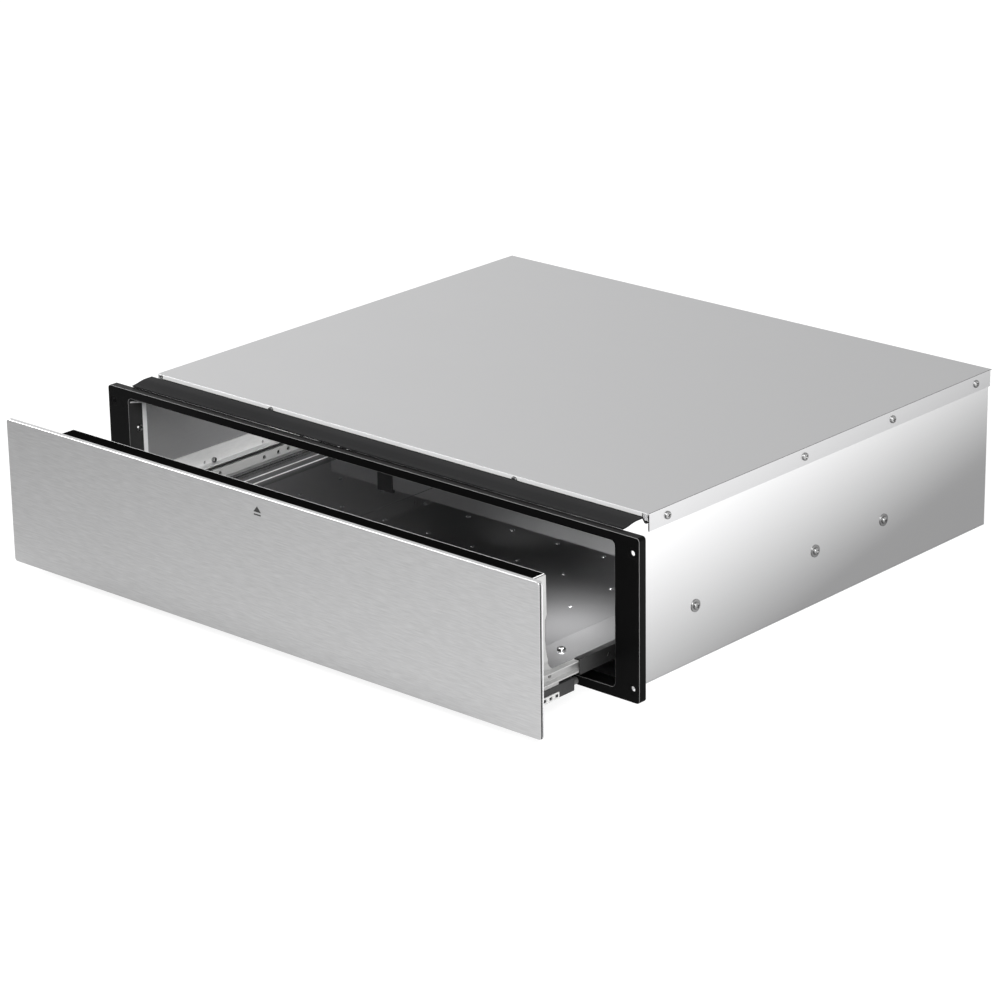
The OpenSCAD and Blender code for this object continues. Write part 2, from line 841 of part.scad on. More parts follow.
// Rear wall of the hollow crossmember, with openings for the controls
module crossmember() {
  at_drawer() color([0.05, 0.05, 0.05]) difference() {
    union() {
      wide_block(cross_half, cross_back - cross_t, cross_back,
        knee_z + knee_h, cross_top - cross_t);
      wide_block(web_in - member_t, cross_back - cross_t, cross_back,
        cross_low + cross_t, knee_z + knee_h);
    }
    translate([knob_x, cross_back - cross_t - cut, control_z]) rotate([-90, 0, 0])
      cylinder(r = shaft_r + shaft_gap, h = cross_t + 2 * cut);
    translate([lamp_x, cross_back - cross_t - cut, control_z]) rotate([-90, 0, 0])
      cylinder(r = lamp_r + fit_gap, h = cross_t + 2 * cut);
    block([rocker_x - rocker_w / 2, cross_back - cross_t - cut, control_z - rocker_h / 2],
      [rocker_x + rocker_w / 2, cross_back + cut, control_z + rocker_h / 2]);
  }
}

// Top of the crossmember, folded down where it meets the panel
module crossmember_top() {
  at_drawer() color([0.05, 0.05, 0.05]) {
    wide_block(cross_half, cross_front, cross_back, cross_top - cross_t, cross_top);
    wide_block(cross_half, cross_front, cross_front + cross_t,
      cross_top - cross_return, cross_top);
  }
}

// Base of the crossmember, folded up where it meets the panel
module crossmember_base() {
  at_drawer() color([0.05, 0.05, 0.05]) {
    wide_block(web_in - member_t, cross_front, cross_back, cross_low, cross_low + cross_t);
    wide_block(web_in - member_t, cross_front, cross_front + cross_t,
      cross_low, cross_low + cross_return);
  }
}

// Side outline of an end bracket, from the panel down to its foot
bracket_line = concat(
  [[cross_front, cross_top - cross_t],
   [cross_front + cross_d, cross_top - cross_t],
   [cross_back + shoulder_step, shoulder_z + shoulder_h],
   [neck_y, shoulder_z]],
  [for (i = [0 : arch_steps])
    [neck_y + (foot_back - foot_lip - neck_y) * (1 - cos(90 * i / arch_steps)),
     foot_top + foot_lip + (neck_z - foot_top - foot_lip) * (1 - sin(90 * i / arch_steps))]],
  [[foot_back, foot_top],
   [foot_back, foot_low],
   [cross_front, foot_low]]
);

// End bracket: the outline, cut from a sheet that steps inwards above its foot
module end_bracket() {
  difference() {
    intersection() {
      plate_yz(bracket_in - knee_h, bracket_out + cut) polygon(bracket_line);
      plate_xz(cross_front, foot_back)
        polygon([
          [bracket_out, cross_top], [bracket_in, cross_top],
          [bracket_in, knee_z + knee_h], [web_in - member_t, knee_z],
          [web_in - member_t, foot_low], [web_in, foot_low],
          [web_in, knee_z], [bracket_out, knee_z + knee_h]
        ]);
    }
    for (y = foot_screw_places)
      translate([web_in - 2 * member_t, y, runner_z]) rotate([0, 90, 0])
        cylinder(r = shank_r + fit_gap, h = 3 * member_t);
  }
}

module left_end_bracket() {
  at_drawer() color([0.78, 0.78, 0.78]) to_left() end_bracket();
}

module right_end_bracket() {
  at_drawer() color([0.78, 0.78, 0.78]) end_bracket();
}

// Screws that join each bracket's foot to its runner, heads inwards
module bracket_screws() {
  at_drawer() color([0.5, 0.5, 0.5]) both_sides()
    for (y = foot_screw_places)
      translate([web_in - member_t, y, runner_z]) rotate([0, -90, 0])
        pan_screw(2 * member_t + shank_end);
}

// Drawer runner: outer channel in the middle member, and a seat under the tray
module drawer_runner() {
  difference() {
    union() {
      plate_xz(runner_y, runner_y + runner_len) difference() {
        translate([web_in, runner_z - drawer_member_h / 2])
          square([drawer_flange_out - web_in, drawer_member_h]);
        translate([web_out, runner_z - drawer_member_h / 2 + member_t])
          square([drawer_flange_out - web_out + cut, drawer_member_h - 2 * member_t]);
      }
      block([seat_in, seat_front, seat_z - member_t],
        [web_out, runner_y + runner_len - seat_tail, seat_z]);
    }
    for (y = concat(along(runner_y, runner_len, web_hole_shares), foot_screw_places))
      translate([web_in - cut, y, runner_z]) rotate([0, 90, 0])
        cylinder(r = runner_hole_r, h = member_t + 2 * cut);
    for (y = along(tray_front, tray_d, tray_screw_shares))
      translate([tray_screw_x, y, seat_z - member_t - cut])
        cylinder(r = shank_r + fit_gap, h = member_t + 2 * cut);
  }
}

module left_drawer_runner() {
  at_drawer() color([0.76, 0.76, 0.76]) to_left() drawer_runner();
}

module right_drawer_runner() {
  at_drawer() color([0.76, 0.76, 0.76]) drawer_runner();
}

// Tray: sunk floor, level margins with hemmed edges and beads, and a back wall
module tray() {
  at_drawer() color([0.6, 0.6, 0.61]) difference() {
    union() {
      wide_block(plate_half + sheet_t, tray_front, tray_back,
        floor_z - 2 * sheet_t, floor_z - sheet_t);
      both_sides() {
        block([plate_half + fit_gap, tray_front, floor_z - 2 * sheet_t],
          [plate_half + sheet_t, tray_back, floor_z]);
        block([plate_half + fit_gap, tray_front, floor_z - sheet_t],
          [tray_half, tray_back, floor_z]);
        block([tray_half - tray_hem, tray_front, floor_z],
          [tray_half, tray_back, floor_z + hem_t]);
        for (inset = bead_insets)
          translate([tray_half - inset, bead_start, floor_z]) rotate([-90, 0, 0])
            cylinder(r = bead_h, h = tray_back - bead_start);
      }
      wide_block(tray_half, tray_back - sheet_t, tray_back,
        floor_z - sheet_t, floor_z + back_wall_h);
    }
    both_sides()
      for (y = along(tray_front, tray_d, tray_screw_shares))
        translate([tray_screw_x, y, floor_z - sheet_t - cut])
          cylinder(r = shank_r + fit_gap, h = sheet_t + 2 * cut);
  }
}

// A raised dot on the floor
module dot(x, y) {
  translate([x, y, floor_z - sheet_t / 2])
    cylinder(r1 = dot_r, r2 = dot_top_r, h = dot_h + sheet_t / 2);
}

// Dark polished floor in two plates, with rows of raised dots
module floor_plates() {
  at_drawer() color([0.16, 0.16, 0.17]) {
    for (ends = [[-plate_half, plate_joint_x - plate_joint / 2],
        [plate_joint_x + plate_joint / 2, plate_half]])
      block([ends[0], tray_front + fit_gap, floor_z - sheet_t],
        [ends[1], tray_back - sheet_t - fit_gap, floor_z]);
    for (i = [0 : dot_columns - 1], j = [0 : dot_rows - 1])
      dot((i - (dot_columns - 1) / 2) * dot_pitch, tray_front + dot_first + j * dot_pitch);
  }
}

// Screws that hold the tray to the runner seats
module tray_screws() {
  at_drawer() color([0.8, 0.8, 0.8]) both_sides()
    for (y = along(tray_front, tray_d, tray_screw_shares))
      translate([tray_screw_x, y, floor_z]) pan_screw(sheet_t + member_t + shank_end);
}

// Heating mat stuck under the tray's floor
module heating_mat() {
  at_drawer() color([0.6, 0.25, 0.15])
    wide_block(pan_half - mat_inset, pan_front + mat_inset, pan_back - mat_inset,
      mat_top - mat_t, mat_top);
}

// Insulation under the heating mat
module insulation_board() {
  at_drawer() color([0.85, 0.82, 0.7])
    wide_block(pan_half - sheet_t - fit_gap, pan_front + sheet_t + fit_gap,
      pan_back - sheet_t - fit_gap, board_top - board_t, board_top);
}

// Steel pan that closes the heating layers from below
module heater_pan() {
  at_drawer() color([0.65, 0.65, 0.66]) difference() {
    wide_block(pan_half, pan_front, pan_back, pan_low, mat_top + fit_gap);
    wide_block(pan_half - sheet_t, pan_front + sheet_t, pan_back - sheet_t,
      pan_low + sheet_t, mat_top + fit_gap + cut);
  }
}

// Bimetal cut-out with two blades, behind the tray's back wall
module thermal_cutout() {
  at_drawer() color([0.7, 0.68, 0.6])
    translate([cutout_x, tray_back, floor_z + cutout_r + blade_w]) {
      rotate([-90, 0, 0]) cylinder(r = cutout_r, h = cutout_d);
      for (x = [-cutout_r / 2, cutout_r / 2])
        translate([x - blade_w / 4, cutout_d - fit_gap, -blade_t / 2])
          cube([blade_w / 2, blade_len, blade_t]);
    }
}

// Black clip over the back wall that guides the heater's lead
module lead_clip() {
  at_drawer() color([0.05, 0.05, 0.05]) difference() {
    block([clip_x - clip_w / 2, tray_back - sheet_t - clip_t,
        floor_z + back_wall_h - clip_drop],
      [clip_x + clip_w / 2, tray_back + clip_t, floor_z + back_wall_h + clip_rise]);
    block([clip_x - clip_w, tray_back - sheet_t - fit_gap,
        floor_z + back_wall_h - clip_drop - cut],
      [clip_x + clip_w, tray_back + fit_gap, floor_z + back_wall_h + fit_gap]);
  }
}

// Thermostat body inside the crossmember, with a hollow stub for its shaft
module thermostat() {
  at_drawer() color([0.75, 0.73, 0.68])
    translate([knob_x, cross_back - cross_t - fit_gap, control_z]) rotate([90, 0, 0])
      difference() {
        cylinder(r = therm_r, h = therm_d);
        translate([0, 0, -cut]) cylinder(r = shaft_r + pin_gap, h = therm_d / 2 + cut);
      }
}

// Thermostat shaft, turned by the knob
module knob_shaft() {
  at_drawer() color([0.7, 0.7, 0.7])
    translate([knob_x, cross_back - cross_t - therm_d / 3, control_z]) rotate([-90, 0, 0])
      cylinder(r = shaft_r, h = therm_d / 3 + cross_t + therm_stub + knob_d / 2);
}

// Knob with a fluted grip and a pointer ridge
module control_knob() {
  at_drawer() color([0.08, 0.08, 0.08])
    translate([knob_x, cross_back + therm_stub, control_z]) rotate([-90, 0, 0]) difference() {
      union() {
        cylinder(r = knob_r, h = knob_d / 4);
        cylinder(r = knob_r * grip_share, h = knob_d);
        translate([-pointer_w / 2, -knob_r * pointer_share, knob_d - pointer_w / 3])
          cube([pointer_w, knob_r * pointer_share, pointer_w * 2 / 3]);
      }
      for (i = [0 : grip_flutes - 1])
        rotate(360 * (i + 0.5) / grip_flutes)
          translate([knob_r * flute_share, 0, knob_d / 3])
            cylinder(r = pointer_w / 2, h = knob_d);
      translate([0, 0, -cut]) cylinder(r = shaft_r + pin_gap, h = knob_d / 2 + cut);
    }
}

// Switch housing: a rim on the rear wall and a hollow body inside
module switch_housing() {
  at_drawer() color([0.1, 0.1, 0.1]) difference() {
    union() {
      block([rocker_x - rocker_w / 2 - rocker_rim, cross_back + fit_gap,
          control_z - rocker_h / 2 - rocker_rim],
        [rocker_x + rocker_w / 2 + rocker_rim, cross_back + rocker_rim_t,
          control_z + rocker_h / 2 + rocker_rim]);
      block([rocker_x - rocker_w / 2 + fit_gap, cross_back - rocker_body_d,
          control_z - rocker_h / 2 + fit_gap],
        [rocker_x + rocker_w / 2 - fit_gap, cross_back + rocker_rim_t,
          control_z + rocker_h / 2 - fit_gap]);
    }
    block([rocker_x - rocker_w / 2 + rocker_rim, cross_back - rocker_body_d / 2,
        control_z - rocker_h / 2 + rocker_rim],
      [rocker_x + rocker_w / 2 - rocker_rim, cross_back + rocker_rim_t + cut,
        control_z + rocker_h / 2 - rocker_rim]);
  }
}

// Rocker that swings on a pin across the housing
module rocker() {
  at_drawer() color([0.65, 0.08, 0.05])
    translate([rocker_x, cross_back - rocker_out, control_z]) rotate([0, 90, 0])
      difference() {
        translate([0, 0, rocker_rim + rocker_clear - rocker_w / 2])
          linear_extrude(rocker_w - 2 * rocker_rim - 2 * rocker_clear)
            polygon([
              [-rocker_half * rocker_base_share, -rocker_out / 2],
              [rocker_half * rocker_base_share, -rocker_out / 2],
              [rocker_half * rocker_top_share, rocker_out + rocker_rim_t * rocker_high_share],
              [0, rocker_out + rocker_rim_t * rocker_mid_share],
              [-rocker_half * rocker_top_share, rocker_out + rocker_rim_t * rocker_low_share]
            ]);
        translate([0, 0, -rocker_w]) cylinder(r = rocker_pin_r + pin_gap, h = 2 * rocker_w);
      }
}

// Pin that the rocker swings on, held in the housing
module rocker_pin() {
  at_drawer() color([0.7, 0.7, 0.7])
    translate([rocker_x - rocker_w / 2 + rocker_rim, cross_back - rocker_out, control_z])
      rotate([0, 90, 0]) cylinder(r = rocker_pin_r, h = rocker_w - 2 * rocker_rim);
}

// Pilot lamp with a domed lens in the rear wall
module pilot_lamp() {
  at_drawer() color([0.9, 0.5, 0.1])
    translate([lamp_x, cross_back - lamp_d, control_z]) rotate([-90, 0, 0]) {
      cylinder(r = lamp_r, h = lamp_d + fit_gap);
      translate([0, 0, lamp_d + fit_gap])
        cylinder(r1 = lamp_r + lamp_out / 2, r2 = lamp_r / 2, h = lamp_out);
    }
}

// Latch body under the bracket's foot, bored for its plunger
module latch_body() {
  difference() {
    block([latch_out - latch_w, latch_front, latch_low], [latch_out, latch_back, latch_top]);
    translate([latch_x, latch_back - plunger_in - plunger_travel, plunger_z])
      rotate([-90, 0, 0])
        cylinder(r = plunger_r + plunger_gap, h = plunger_in + plunger_travel + cut);
  }
}

module left_latch_body() {
  at_drawer() color([0.12, 0.12, 0.12]) to_left() latch_body();
}

module right_latch_body() {
  at_drawer() color([0.12, 0.12, 0.12]) latch_body();
}

// Slotted steel clips on the outer faces of the latch bodies
module latch_clips() {
  at_drawer() color([0.75, 0.75, 0.75]) both_sides() difference() {
    block([latch_out, clip_plate_y, latch_low],
      [latch_out + clip_plate_t, clip_plate_y + clip_plate_len, latch_low + clip_plate_h]);
    for (i = [0 : clip_slots - 1])
      translate([latch_out - cut,
        clip_plate_y + clip_plate_len * (i + clip_slot_share) / clip_slots,
        latch_low + clip_plate_h / 4])
        cube([clip_plate_t + 2 * cut, clip_plate_len / clip_slots / 2, clip_plate_h / 2]);
  }
}

// Sprung plunger of a push latch
module latch_plunger() {
  translate([latch_x, latch_back - plunger_in, plunger_z]) rotate([-90, 0, 0]) {
    cylinder(r = plunger_r, h = plunger_in + plunger_out - plunger_r / 2);
    translate([0, 0, plunger_in + plunger_out - plunger_r / 2])
      cylinder(r1 = plunger_r, r2 = plunger_r / 2, h = plunger_r / 2);
  }
}

module left_latch_plunger() {
  at_drawer() color([0.85, 0.85, 0.85]) to_left() latch_plunger();
}

module right_latch_plunger() {
  at_drawer() color([0.85, 0.85, 0.85]) latch_plunger();
}

front_frame();
frame_corner_brackets();
frame_screws();
roof_strip();
top_cover();
left_side_panel();
right_side_panel();
bottom_panel();
back_panel();
cover_side_screws();
cover_lip_screws();
back_screws();
left_runner_rail();
right_runner_rail();
rail_screws();
rail_washers();
rail_nuts();
terminal_box();
cable_gland();
gland_nut();
left_latch_striker();
right_latch_striker();
left_runner_middle();
right_runner_middle();
front_skin();
front_backing();
front_liner();
panel_bumpers();
crossmember();
crossmember_top();
crossmember_base();
left_end_bracket();
right_end_bracket();
bracket_screws();
left_drawer_runner();
right_drawer_runner();
tray();
floor_plates();
tray_screws();
heating_mat();
insulation_board();
heater_pan();
thermal_cutout();
lead_clip();
thermostat();
knob_shaft();
control_knob();
switch_housing();
rocker();
rocker_pin();
pilot_lamp();
left_latch_body();
right_latch_body();
latch_clips();
left_latch_plunger();
right_latch_plunger();
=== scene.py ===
# Looks of a built-in warming drawer, standing partly open.
import json
from math import cos, radians, sin

import bmesh
import bpy
from mathutils import Matrix, Vector

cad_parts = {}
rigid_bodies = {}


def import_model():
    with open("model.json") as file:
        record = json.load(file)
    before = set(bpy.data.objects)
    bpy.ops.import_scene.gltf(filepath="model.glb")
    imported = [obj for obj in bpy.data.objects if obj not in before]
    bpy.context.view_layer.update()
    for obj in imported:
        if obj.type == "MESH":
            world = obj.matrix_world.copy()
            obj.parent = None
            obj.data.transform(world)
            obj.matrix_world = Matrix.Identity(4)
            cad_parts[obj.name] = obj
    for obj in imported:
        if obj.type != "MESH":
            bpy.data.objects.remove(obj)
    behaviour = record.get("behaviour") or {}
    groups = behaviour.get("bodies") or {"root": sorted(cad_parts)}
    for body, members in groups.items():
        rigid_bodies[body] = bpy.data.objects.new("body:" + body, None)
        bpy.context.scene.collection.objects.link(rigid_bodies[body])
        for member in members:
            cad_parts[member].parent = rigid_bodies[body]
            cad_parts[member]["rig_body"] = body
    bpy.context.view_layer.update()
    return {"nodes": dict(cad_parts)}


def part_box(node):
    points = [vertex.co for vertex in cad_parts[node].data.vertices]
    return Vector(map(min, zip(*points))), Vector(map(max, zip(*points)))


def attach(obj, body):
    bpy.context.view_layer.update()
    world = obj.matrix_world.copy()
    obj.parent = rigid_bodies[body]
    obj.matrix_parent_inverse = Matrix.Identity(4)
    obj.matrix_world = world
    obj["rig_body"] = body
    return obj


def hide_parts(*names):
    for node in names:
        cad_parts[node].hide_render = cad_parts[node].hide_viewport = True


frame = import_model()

# Camera
# A long lens stands high on the right and looks down along the open drawer.
# Its place comes from the edges of the cabinet, frame and front panel.
azimuth, elevation, roll = radians(41.927), radians(20.134), radians(-0.880)
camera_place = Vector((2.00342, -2.25363, 1.15040))
sensor_width, lens_length, far_clip = 36, 134.66, 30
toward_camera = Vector((sin(azimuth) * cos(elevation), -cos(azimuth) * cos(elevation), sin(elevation)))
level_right = Vector((cos(azimuth), sin(azimuth), 0))
level_up = toward_camera.cross(level_right)
camera_right = level_right * cos(roll) + level_up * sin(roll)
camera_up = level_up * cos(roll) - level_right * sin(roll)
bpy.ops.object.select_all(action="DESELECT")
bpy.ops.object.camera_add()
camera = bpy.context.object
camera.name = "photo_camera"
camera.matrix_world = Matrix((camera_right, camera_up, toward_camera)).transposed().to_4x4()
camera.location = camera_place
camera.data.sensor_width = sensor_width
camera.data.lens = lens_length
camera.data.clip_end = far_clip
bpy.context.scene.camera = camera

# Studio
# A white room with a pale floor. Three big soft boxes stand before the drawer, and four small lamps
# light the inside. Metal sees white walls that dim a little to the rear, and the floor keeps the
# drawer's shadow.
bpy.context.scene.view_settings.view_transform = "Standard"
full_white = (1, 1, 1, 1)
room_strength = 0.45
wall_fade_start, wall_fade_end = 0.6, 0.82
wall_bright, wall_dim = 1.14, 0.7
world = bpy.data.worlds.new("white_room")
bpy.context.scene.world = world
world.use_nodes = True
room, room_links = world.node_tree.nodes, world.node_tree.links
room_light = room["Background"]
room_light.inputs["Color"].default_value = full_white
room_light.inputs["Strength"].default_value = room_strength
room_seen = room.new("ShaderNodeBackground")
room_seen.inputs["Color"].default_value = full_white
wall_way = room.new("ShaderNodeTexCoord")
wall_parts = room.new("ShaderNodeSeparateXYZ")
wall_fade = room.new("ShaderNodeMapRange")
wall_fade.inputs["From Min"].default_value = wall_fade_start
wall_fade.inputs["From Max"].default_value = wall_fade_end
wall_fade.inputs["To Min"].default_value = wall_bright
wall_fade.inputs["To Max"].default_value = wall_dim
room_links.new(wall_way.outputs["Generated"], wall_parts.inputs[0])
room_links.new(wall_parts.outputs["Y"], wall_fade.inputs["Value"])
room_path = room.new("ShaderNodeLightPath")
wall_strength = room.new("ShaderNodeMath")
wall_strength.operation = "MAXIMUM"
room_links.new(room_path.outputs["Is Camera Ray"], wall_strength.inputs[0])
room_links.new(wall_fade.outputs["Result"], wall_strength.inputs[1])
room_links.new(wall_strength.outputs[0], room_seen.inputs["Strength"])


def seen_directly(nodes, links):
    """1 for what the camera sees, also by way of metal or glass, and 0 for plain light"""
    path = nodes.new("ShaderNodeLightPath")
    mirror_or_glass = nodes.new("ShaderNodeMath")
    mirror_or_glass.operation = "MAXIMUM"
    either = nodes.new("ShaderNodeMath")
    either.operation = "MAXIMUM"
    links.new(path.outputs["Is Glossy Ray"], mirror_or_glass.inputs[0])
    links.new(path.outputs["Is Transmission Ray"], mirror_or_glass.inputs[1])
    links.new(path.outputs["Is Camera Ray"], either.inputs[0])
    links.new(mirror_or_glass.outputs[0], either.inputs[1])
    return either.outputs[0]


room_mix = room.new("ShaderNodeMixShader")
room_links.new(seen_directly(room, room_links), room_mix.inputs[0])
room_links.new(room_light.outputs[0], room_mix.inputs[1])
room_links.new(room_seen.outputs[0], room_mix.inputs[2])
room_links.new(room_mix.outputs[0], room["World Output"].inputs["Surface"])

floor_wide = 14
bpy.ops.object.select_all(action="DESELECT")
bpy.ops.mesh.primitive_plane_add(size=floor_wide, location=(0, 0, 0))
floor = bpy.context.object
floor.name = "studio_floor"
floor_paint = bpy.data.materials.new("studio_floor_paint")
floor_paint.use_nodes = True
paint, paint_links = floor_paint.node_tree.nodes, floor_paint.node_tree.links
paint.remove(paint["Principled BSDF"])


def glowing_white(brightness, glow):
    """White paint that keeps this much of the light on it and glows besides"""
    matt = paint.new("ShaderNodeBsdfDiffuse")
    matt.inputs["Color"].default_value = (brightness, brightness, brightness, 1)
    shine = paint.new("ShaderNodeEmission")
    shine.inputs["Color"].default_value = full_white
    shine.inputs["Strength"].default_value = glow
    both = paint.new("ShaderNodeAddShader")
    paint_links.new(matt.outputs[0], both.inputs[0])
    paint_links.new(shine.outputs[0], both.inputs[1])
    return both.outputs[0]


def sums(nodes, links, operation, first, second, third=None):
    """One step of arithmetic on sockets or numbers"""
    step = nodes.new("ShaderNodeMath")
    step.operation = operation
    for socket, value in zip(step.inputs, (first, second, third)):
        if isinstance(value, (int, float)):
            socket.default_value = value
        elif value is not None:
            links.new(value, socket)
    return step.outputs[0]


# Painted shade and light: metal sees a floor painted darker near the cabinet's sides, for the drawer's
# shadow, and brighter away from them, with its own painted level in front that rises to the right
side_slope, side_level, side_depth, side_least, side_most = 6.0, -1.14, -1.4, 0.47, 2.1
front_start, front_end = -0.25, -0.35
front_slope, front_level, front_least = 0.45, 0.98, 0.6
spot = paint.new("ShaderNodeTexCoord")
spot_parts = paint.new("ShaderNodeSeparateXYZ")
paint_links.new(spot.outputs["Object"], spot_parts.inputs[0])
spot_x, spot_y = spot_parts.outputs["X"], spot_parts.outputs["Y"]
aside = sums(paint, paint_links, "ABSOLUTE", spot_x, 0)
beside = sums(paint, paint_links, "MULTIPLY_ADD", aside, side_slope, side_level)
beside = sums(paint, paint_links, "MULTIPLY_ADD", spot_y, side_depth, beside)
beside = sums(paint, paint_links, "MAXIMUM", beside, side_least)
beside = sums(paint, paint_links, "MINIMUM", beside, side_most)
ahead = paint.new("ShaderNodeMapRange")
ahead.inputs["From Min"].default_value = front_start
ahead.inputs["From Max"].default_value = front_end
paint_links.new(spot_y, ahead.inputs["Value"])
before = sums(paint, paint_links, "MULTIPLY_ADD", spot_x, front_slope, front_level)
before = sums(paint, paint_links, "MAXIMUM", before, front_least)
before = sums(paint, paint_links, "MULTIPLY", before, ahead.outputs["Result"])
not_ahead = sums(paint, paint_links, "SUBTRACT", 1, ahead.outputs["Result"])
beside = sums(paint, paint_links, "MULTIPLY", beside, not_ahead)
metal_floor_painted_shade = paint.new("ShaderNodeEmission")
metal_floor_painted_shade.inputs["Color"].default_value = full_white
paint_links.new(sums(paint, paint_links, "ADD", beside, before), metal_floor_painted_shade.inputs["Strength"])
lit_white, seen_white, seen_glow = 0.8, 0.25, 0.88
paint_path = paint.new("ShaderNodeLightPath")
metal_view = paint.new("ShaderNodeMixShader")
floor_mix = paint.new("ShaderNodeMixShader")
paint_links.new(paint_path.outputs["Is Glossy Ray"], metal_view.inputs[0])
paint_links.new(glowing_white(lit_white, 0), metal_view.inputs[1])
paint_links.new(metal_floor_painted_shade.outputs[0], metal_view.inputs[2])
paint_links.new(paint_path.outputs["Is Camera Ray"], floor_mix.inputs[0])
paint_links.new(metal_view.outputs[0], floor_mix.inputs[1])
paint_links.new(glowing_white(seen_white, seen_glow), floor_mix.inputs[2])
paint_links.new(floor_mix.outputs[0], paint["Material Output"].inputs["Surface"])
floor.data.materials.append(floor_paint)


def soft_box(name, place, target, size, power, spread=180):
    """A square soft box that looks at its target, with its light kept to a cone of so many degrees"""
    bpy.ops.object.light_add(type="AREA", location=place)
    lamp = bpy.context.object
    lamp.name = name
    lamp.data.shape = "SQUARE"
    lamp.data.size = size
    lamp.data.energy = power
    lamp.data.spread = radians(spread)
    lamp.rotation_euler = (Vector(target) - Vector(place)).to_track_quat("-Z", "Y").to_euler()


soft_box("key_box", (-2.4, -1.9, 1.9), (0, 0, 0.07), size=1.5, power=80)
soft_box("camera_side_box", (2.2, -2.1, 1.5), (0, -0.1, 0.07), size=1.2, power=40)
soft_box("front_box", (1.6, -1.6, 1.9), (0, -0.2, 0.07), size=0.9, power=30)
soft_box("rail_fill", (0.06, -0.17, 0.09), (-0.27, -0.02, 0.05), size=0.03, power=0.095, spread=60)
soft_box("back_fill", (0.14, -0.12, 0.12), (0.16, 0.06, 0.055), size=0.03, power=0.075, spread=80)
soft_box("roof_fill", (0.05, -0.1, 0.07), (0.0, 0.15, 0.141), size=0.04, power=0.17, spread=120)
soft_box("drawer_fill", (0.2, -0.17, 0.118), (0.2, -0.165, 0.04), size=0.05, power=0.25, spread=100)


# Front frame
# A deep black frame of coated steel, screwed to the niche through its four corners.
# Its lip reaches into the cabinet, its rolled-over edges carry a painted grey highlight, and its jambs a
# painted lighter black.
def finish(name, colour, metallic, roughness, grain, tone=0.05, relief=0.02, coat=0.0, smudge=0.1,
           gloss=0.5):
    """A surface whose grain has so many marks per metre along X, Y and Z"""
    coat_roughness = 0.15
    mark_detail, mark_roughness = 4, 0.6
    cloud_scale, cloud_detail = 9, 3
    cloud_low, cloud_high = 0.3, 0.7
    relief_height = 0.0003
    made = bpy.data.materials.new(name)
    made.use_nodes = True
    nodes, links = made.node_tree.nodes, made.node_tree.links
    shader = nodes["Principled BSDF"]
    shader.inputs["Metallic"].default_value = metallic
    shader.inputs["Coat Weight"].default_value = coat
    shader.inputs["Specular IOR Level"].default_value = gloss
    shader.inputs["Coat Roughness"].default_value = coat_roughness
    place = nodes.new("ShaderNodeTexCoord")
    stretch = nodes.new("ShaderNodeMapping")
    stretch.inputs["Scale"].default_value = grain
    links.new(place.outputs["Object"], stretch.inputs["Vector"])
    marks = nodes.new("ShaderNodeTexNoise")
    marks.inputs["Scale"].default_value = 1
    marks.inputs["Detail"].default_value = mark_detail
    marks.inputs["Roughness"].default_value = mark_roughness
    links.new(stretch.outputs["Vector"], marks.inputs["Vector"])
    clouds = nodes.new("ShaderNodeTexNoise")
    clouds.inputs["Scale"].default_value = cloud_scale
    clouds.inputs["Detail"].default_value = cloud_detail
    links.new(place.outputs["Object"], clouds.inputs["Vector"])
    # The colour sockets of a Mix node are 6 and 7, and its colour comes out of socket 2
    shade = nodes.new("ShaderNodeMix")
    shade.data_type = "RGBA"
    shade.inputs[6].default_value = [c * (1 - tone) for c in colour] + [1]
    shade.inputs[7].default_value = [min(1, c * (1 + tone)) for c in colour] + [1]
    links.new(marks.outputs["Fac"], shade.inputs[0])
    links.new(shade.outputs[2], shader.inputs["Base Color"])
    wear = nodes.new("ShaderNodeMapRange")
    wear.inputs["From Min"].default_value = cloud_low
    wear.inputs["From Max"].default_value = cloud_high
    wear.inputs["To Min"].default_value = roughness * (1 - smudge)
    wear.inputs["To Max"].default_value = min(1, roughness * (1 + smudge))
    links.new(clouds.outputs["Fac"], wear.inputs["Value"])
    links.new(wear.outputs["Result"], shader.inputs["Roughness"])
    bump = nodes.new("ShaderNodeBump")
    bump.inputs["Strength"].default_value = relief
    bump.inputs["Distance"].default_value = relief_height
    links.new(marks.outputs["Fac"], bump.inputs["Height"])
    links.new(bump.outputs["Normal"], shader.inputs["Normal"])
    return made


def select_only(piece):
    """The one piece that the next operator works on"""
    bpy.ops.object.select_all(action="DESELECT")
    piece.select_set(True)
    bpy.context.view_layer.objects.active = piece


def dress(piece, node, material):
    """The piece stands for its CAD node and rides where that rides"""
    if not piece.data.materials:
        piece.data.materials.append(material)
    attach(piece, frame["nodes"][node]["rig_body"])
    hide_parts(node)
    return piece


same_place = 0.000004


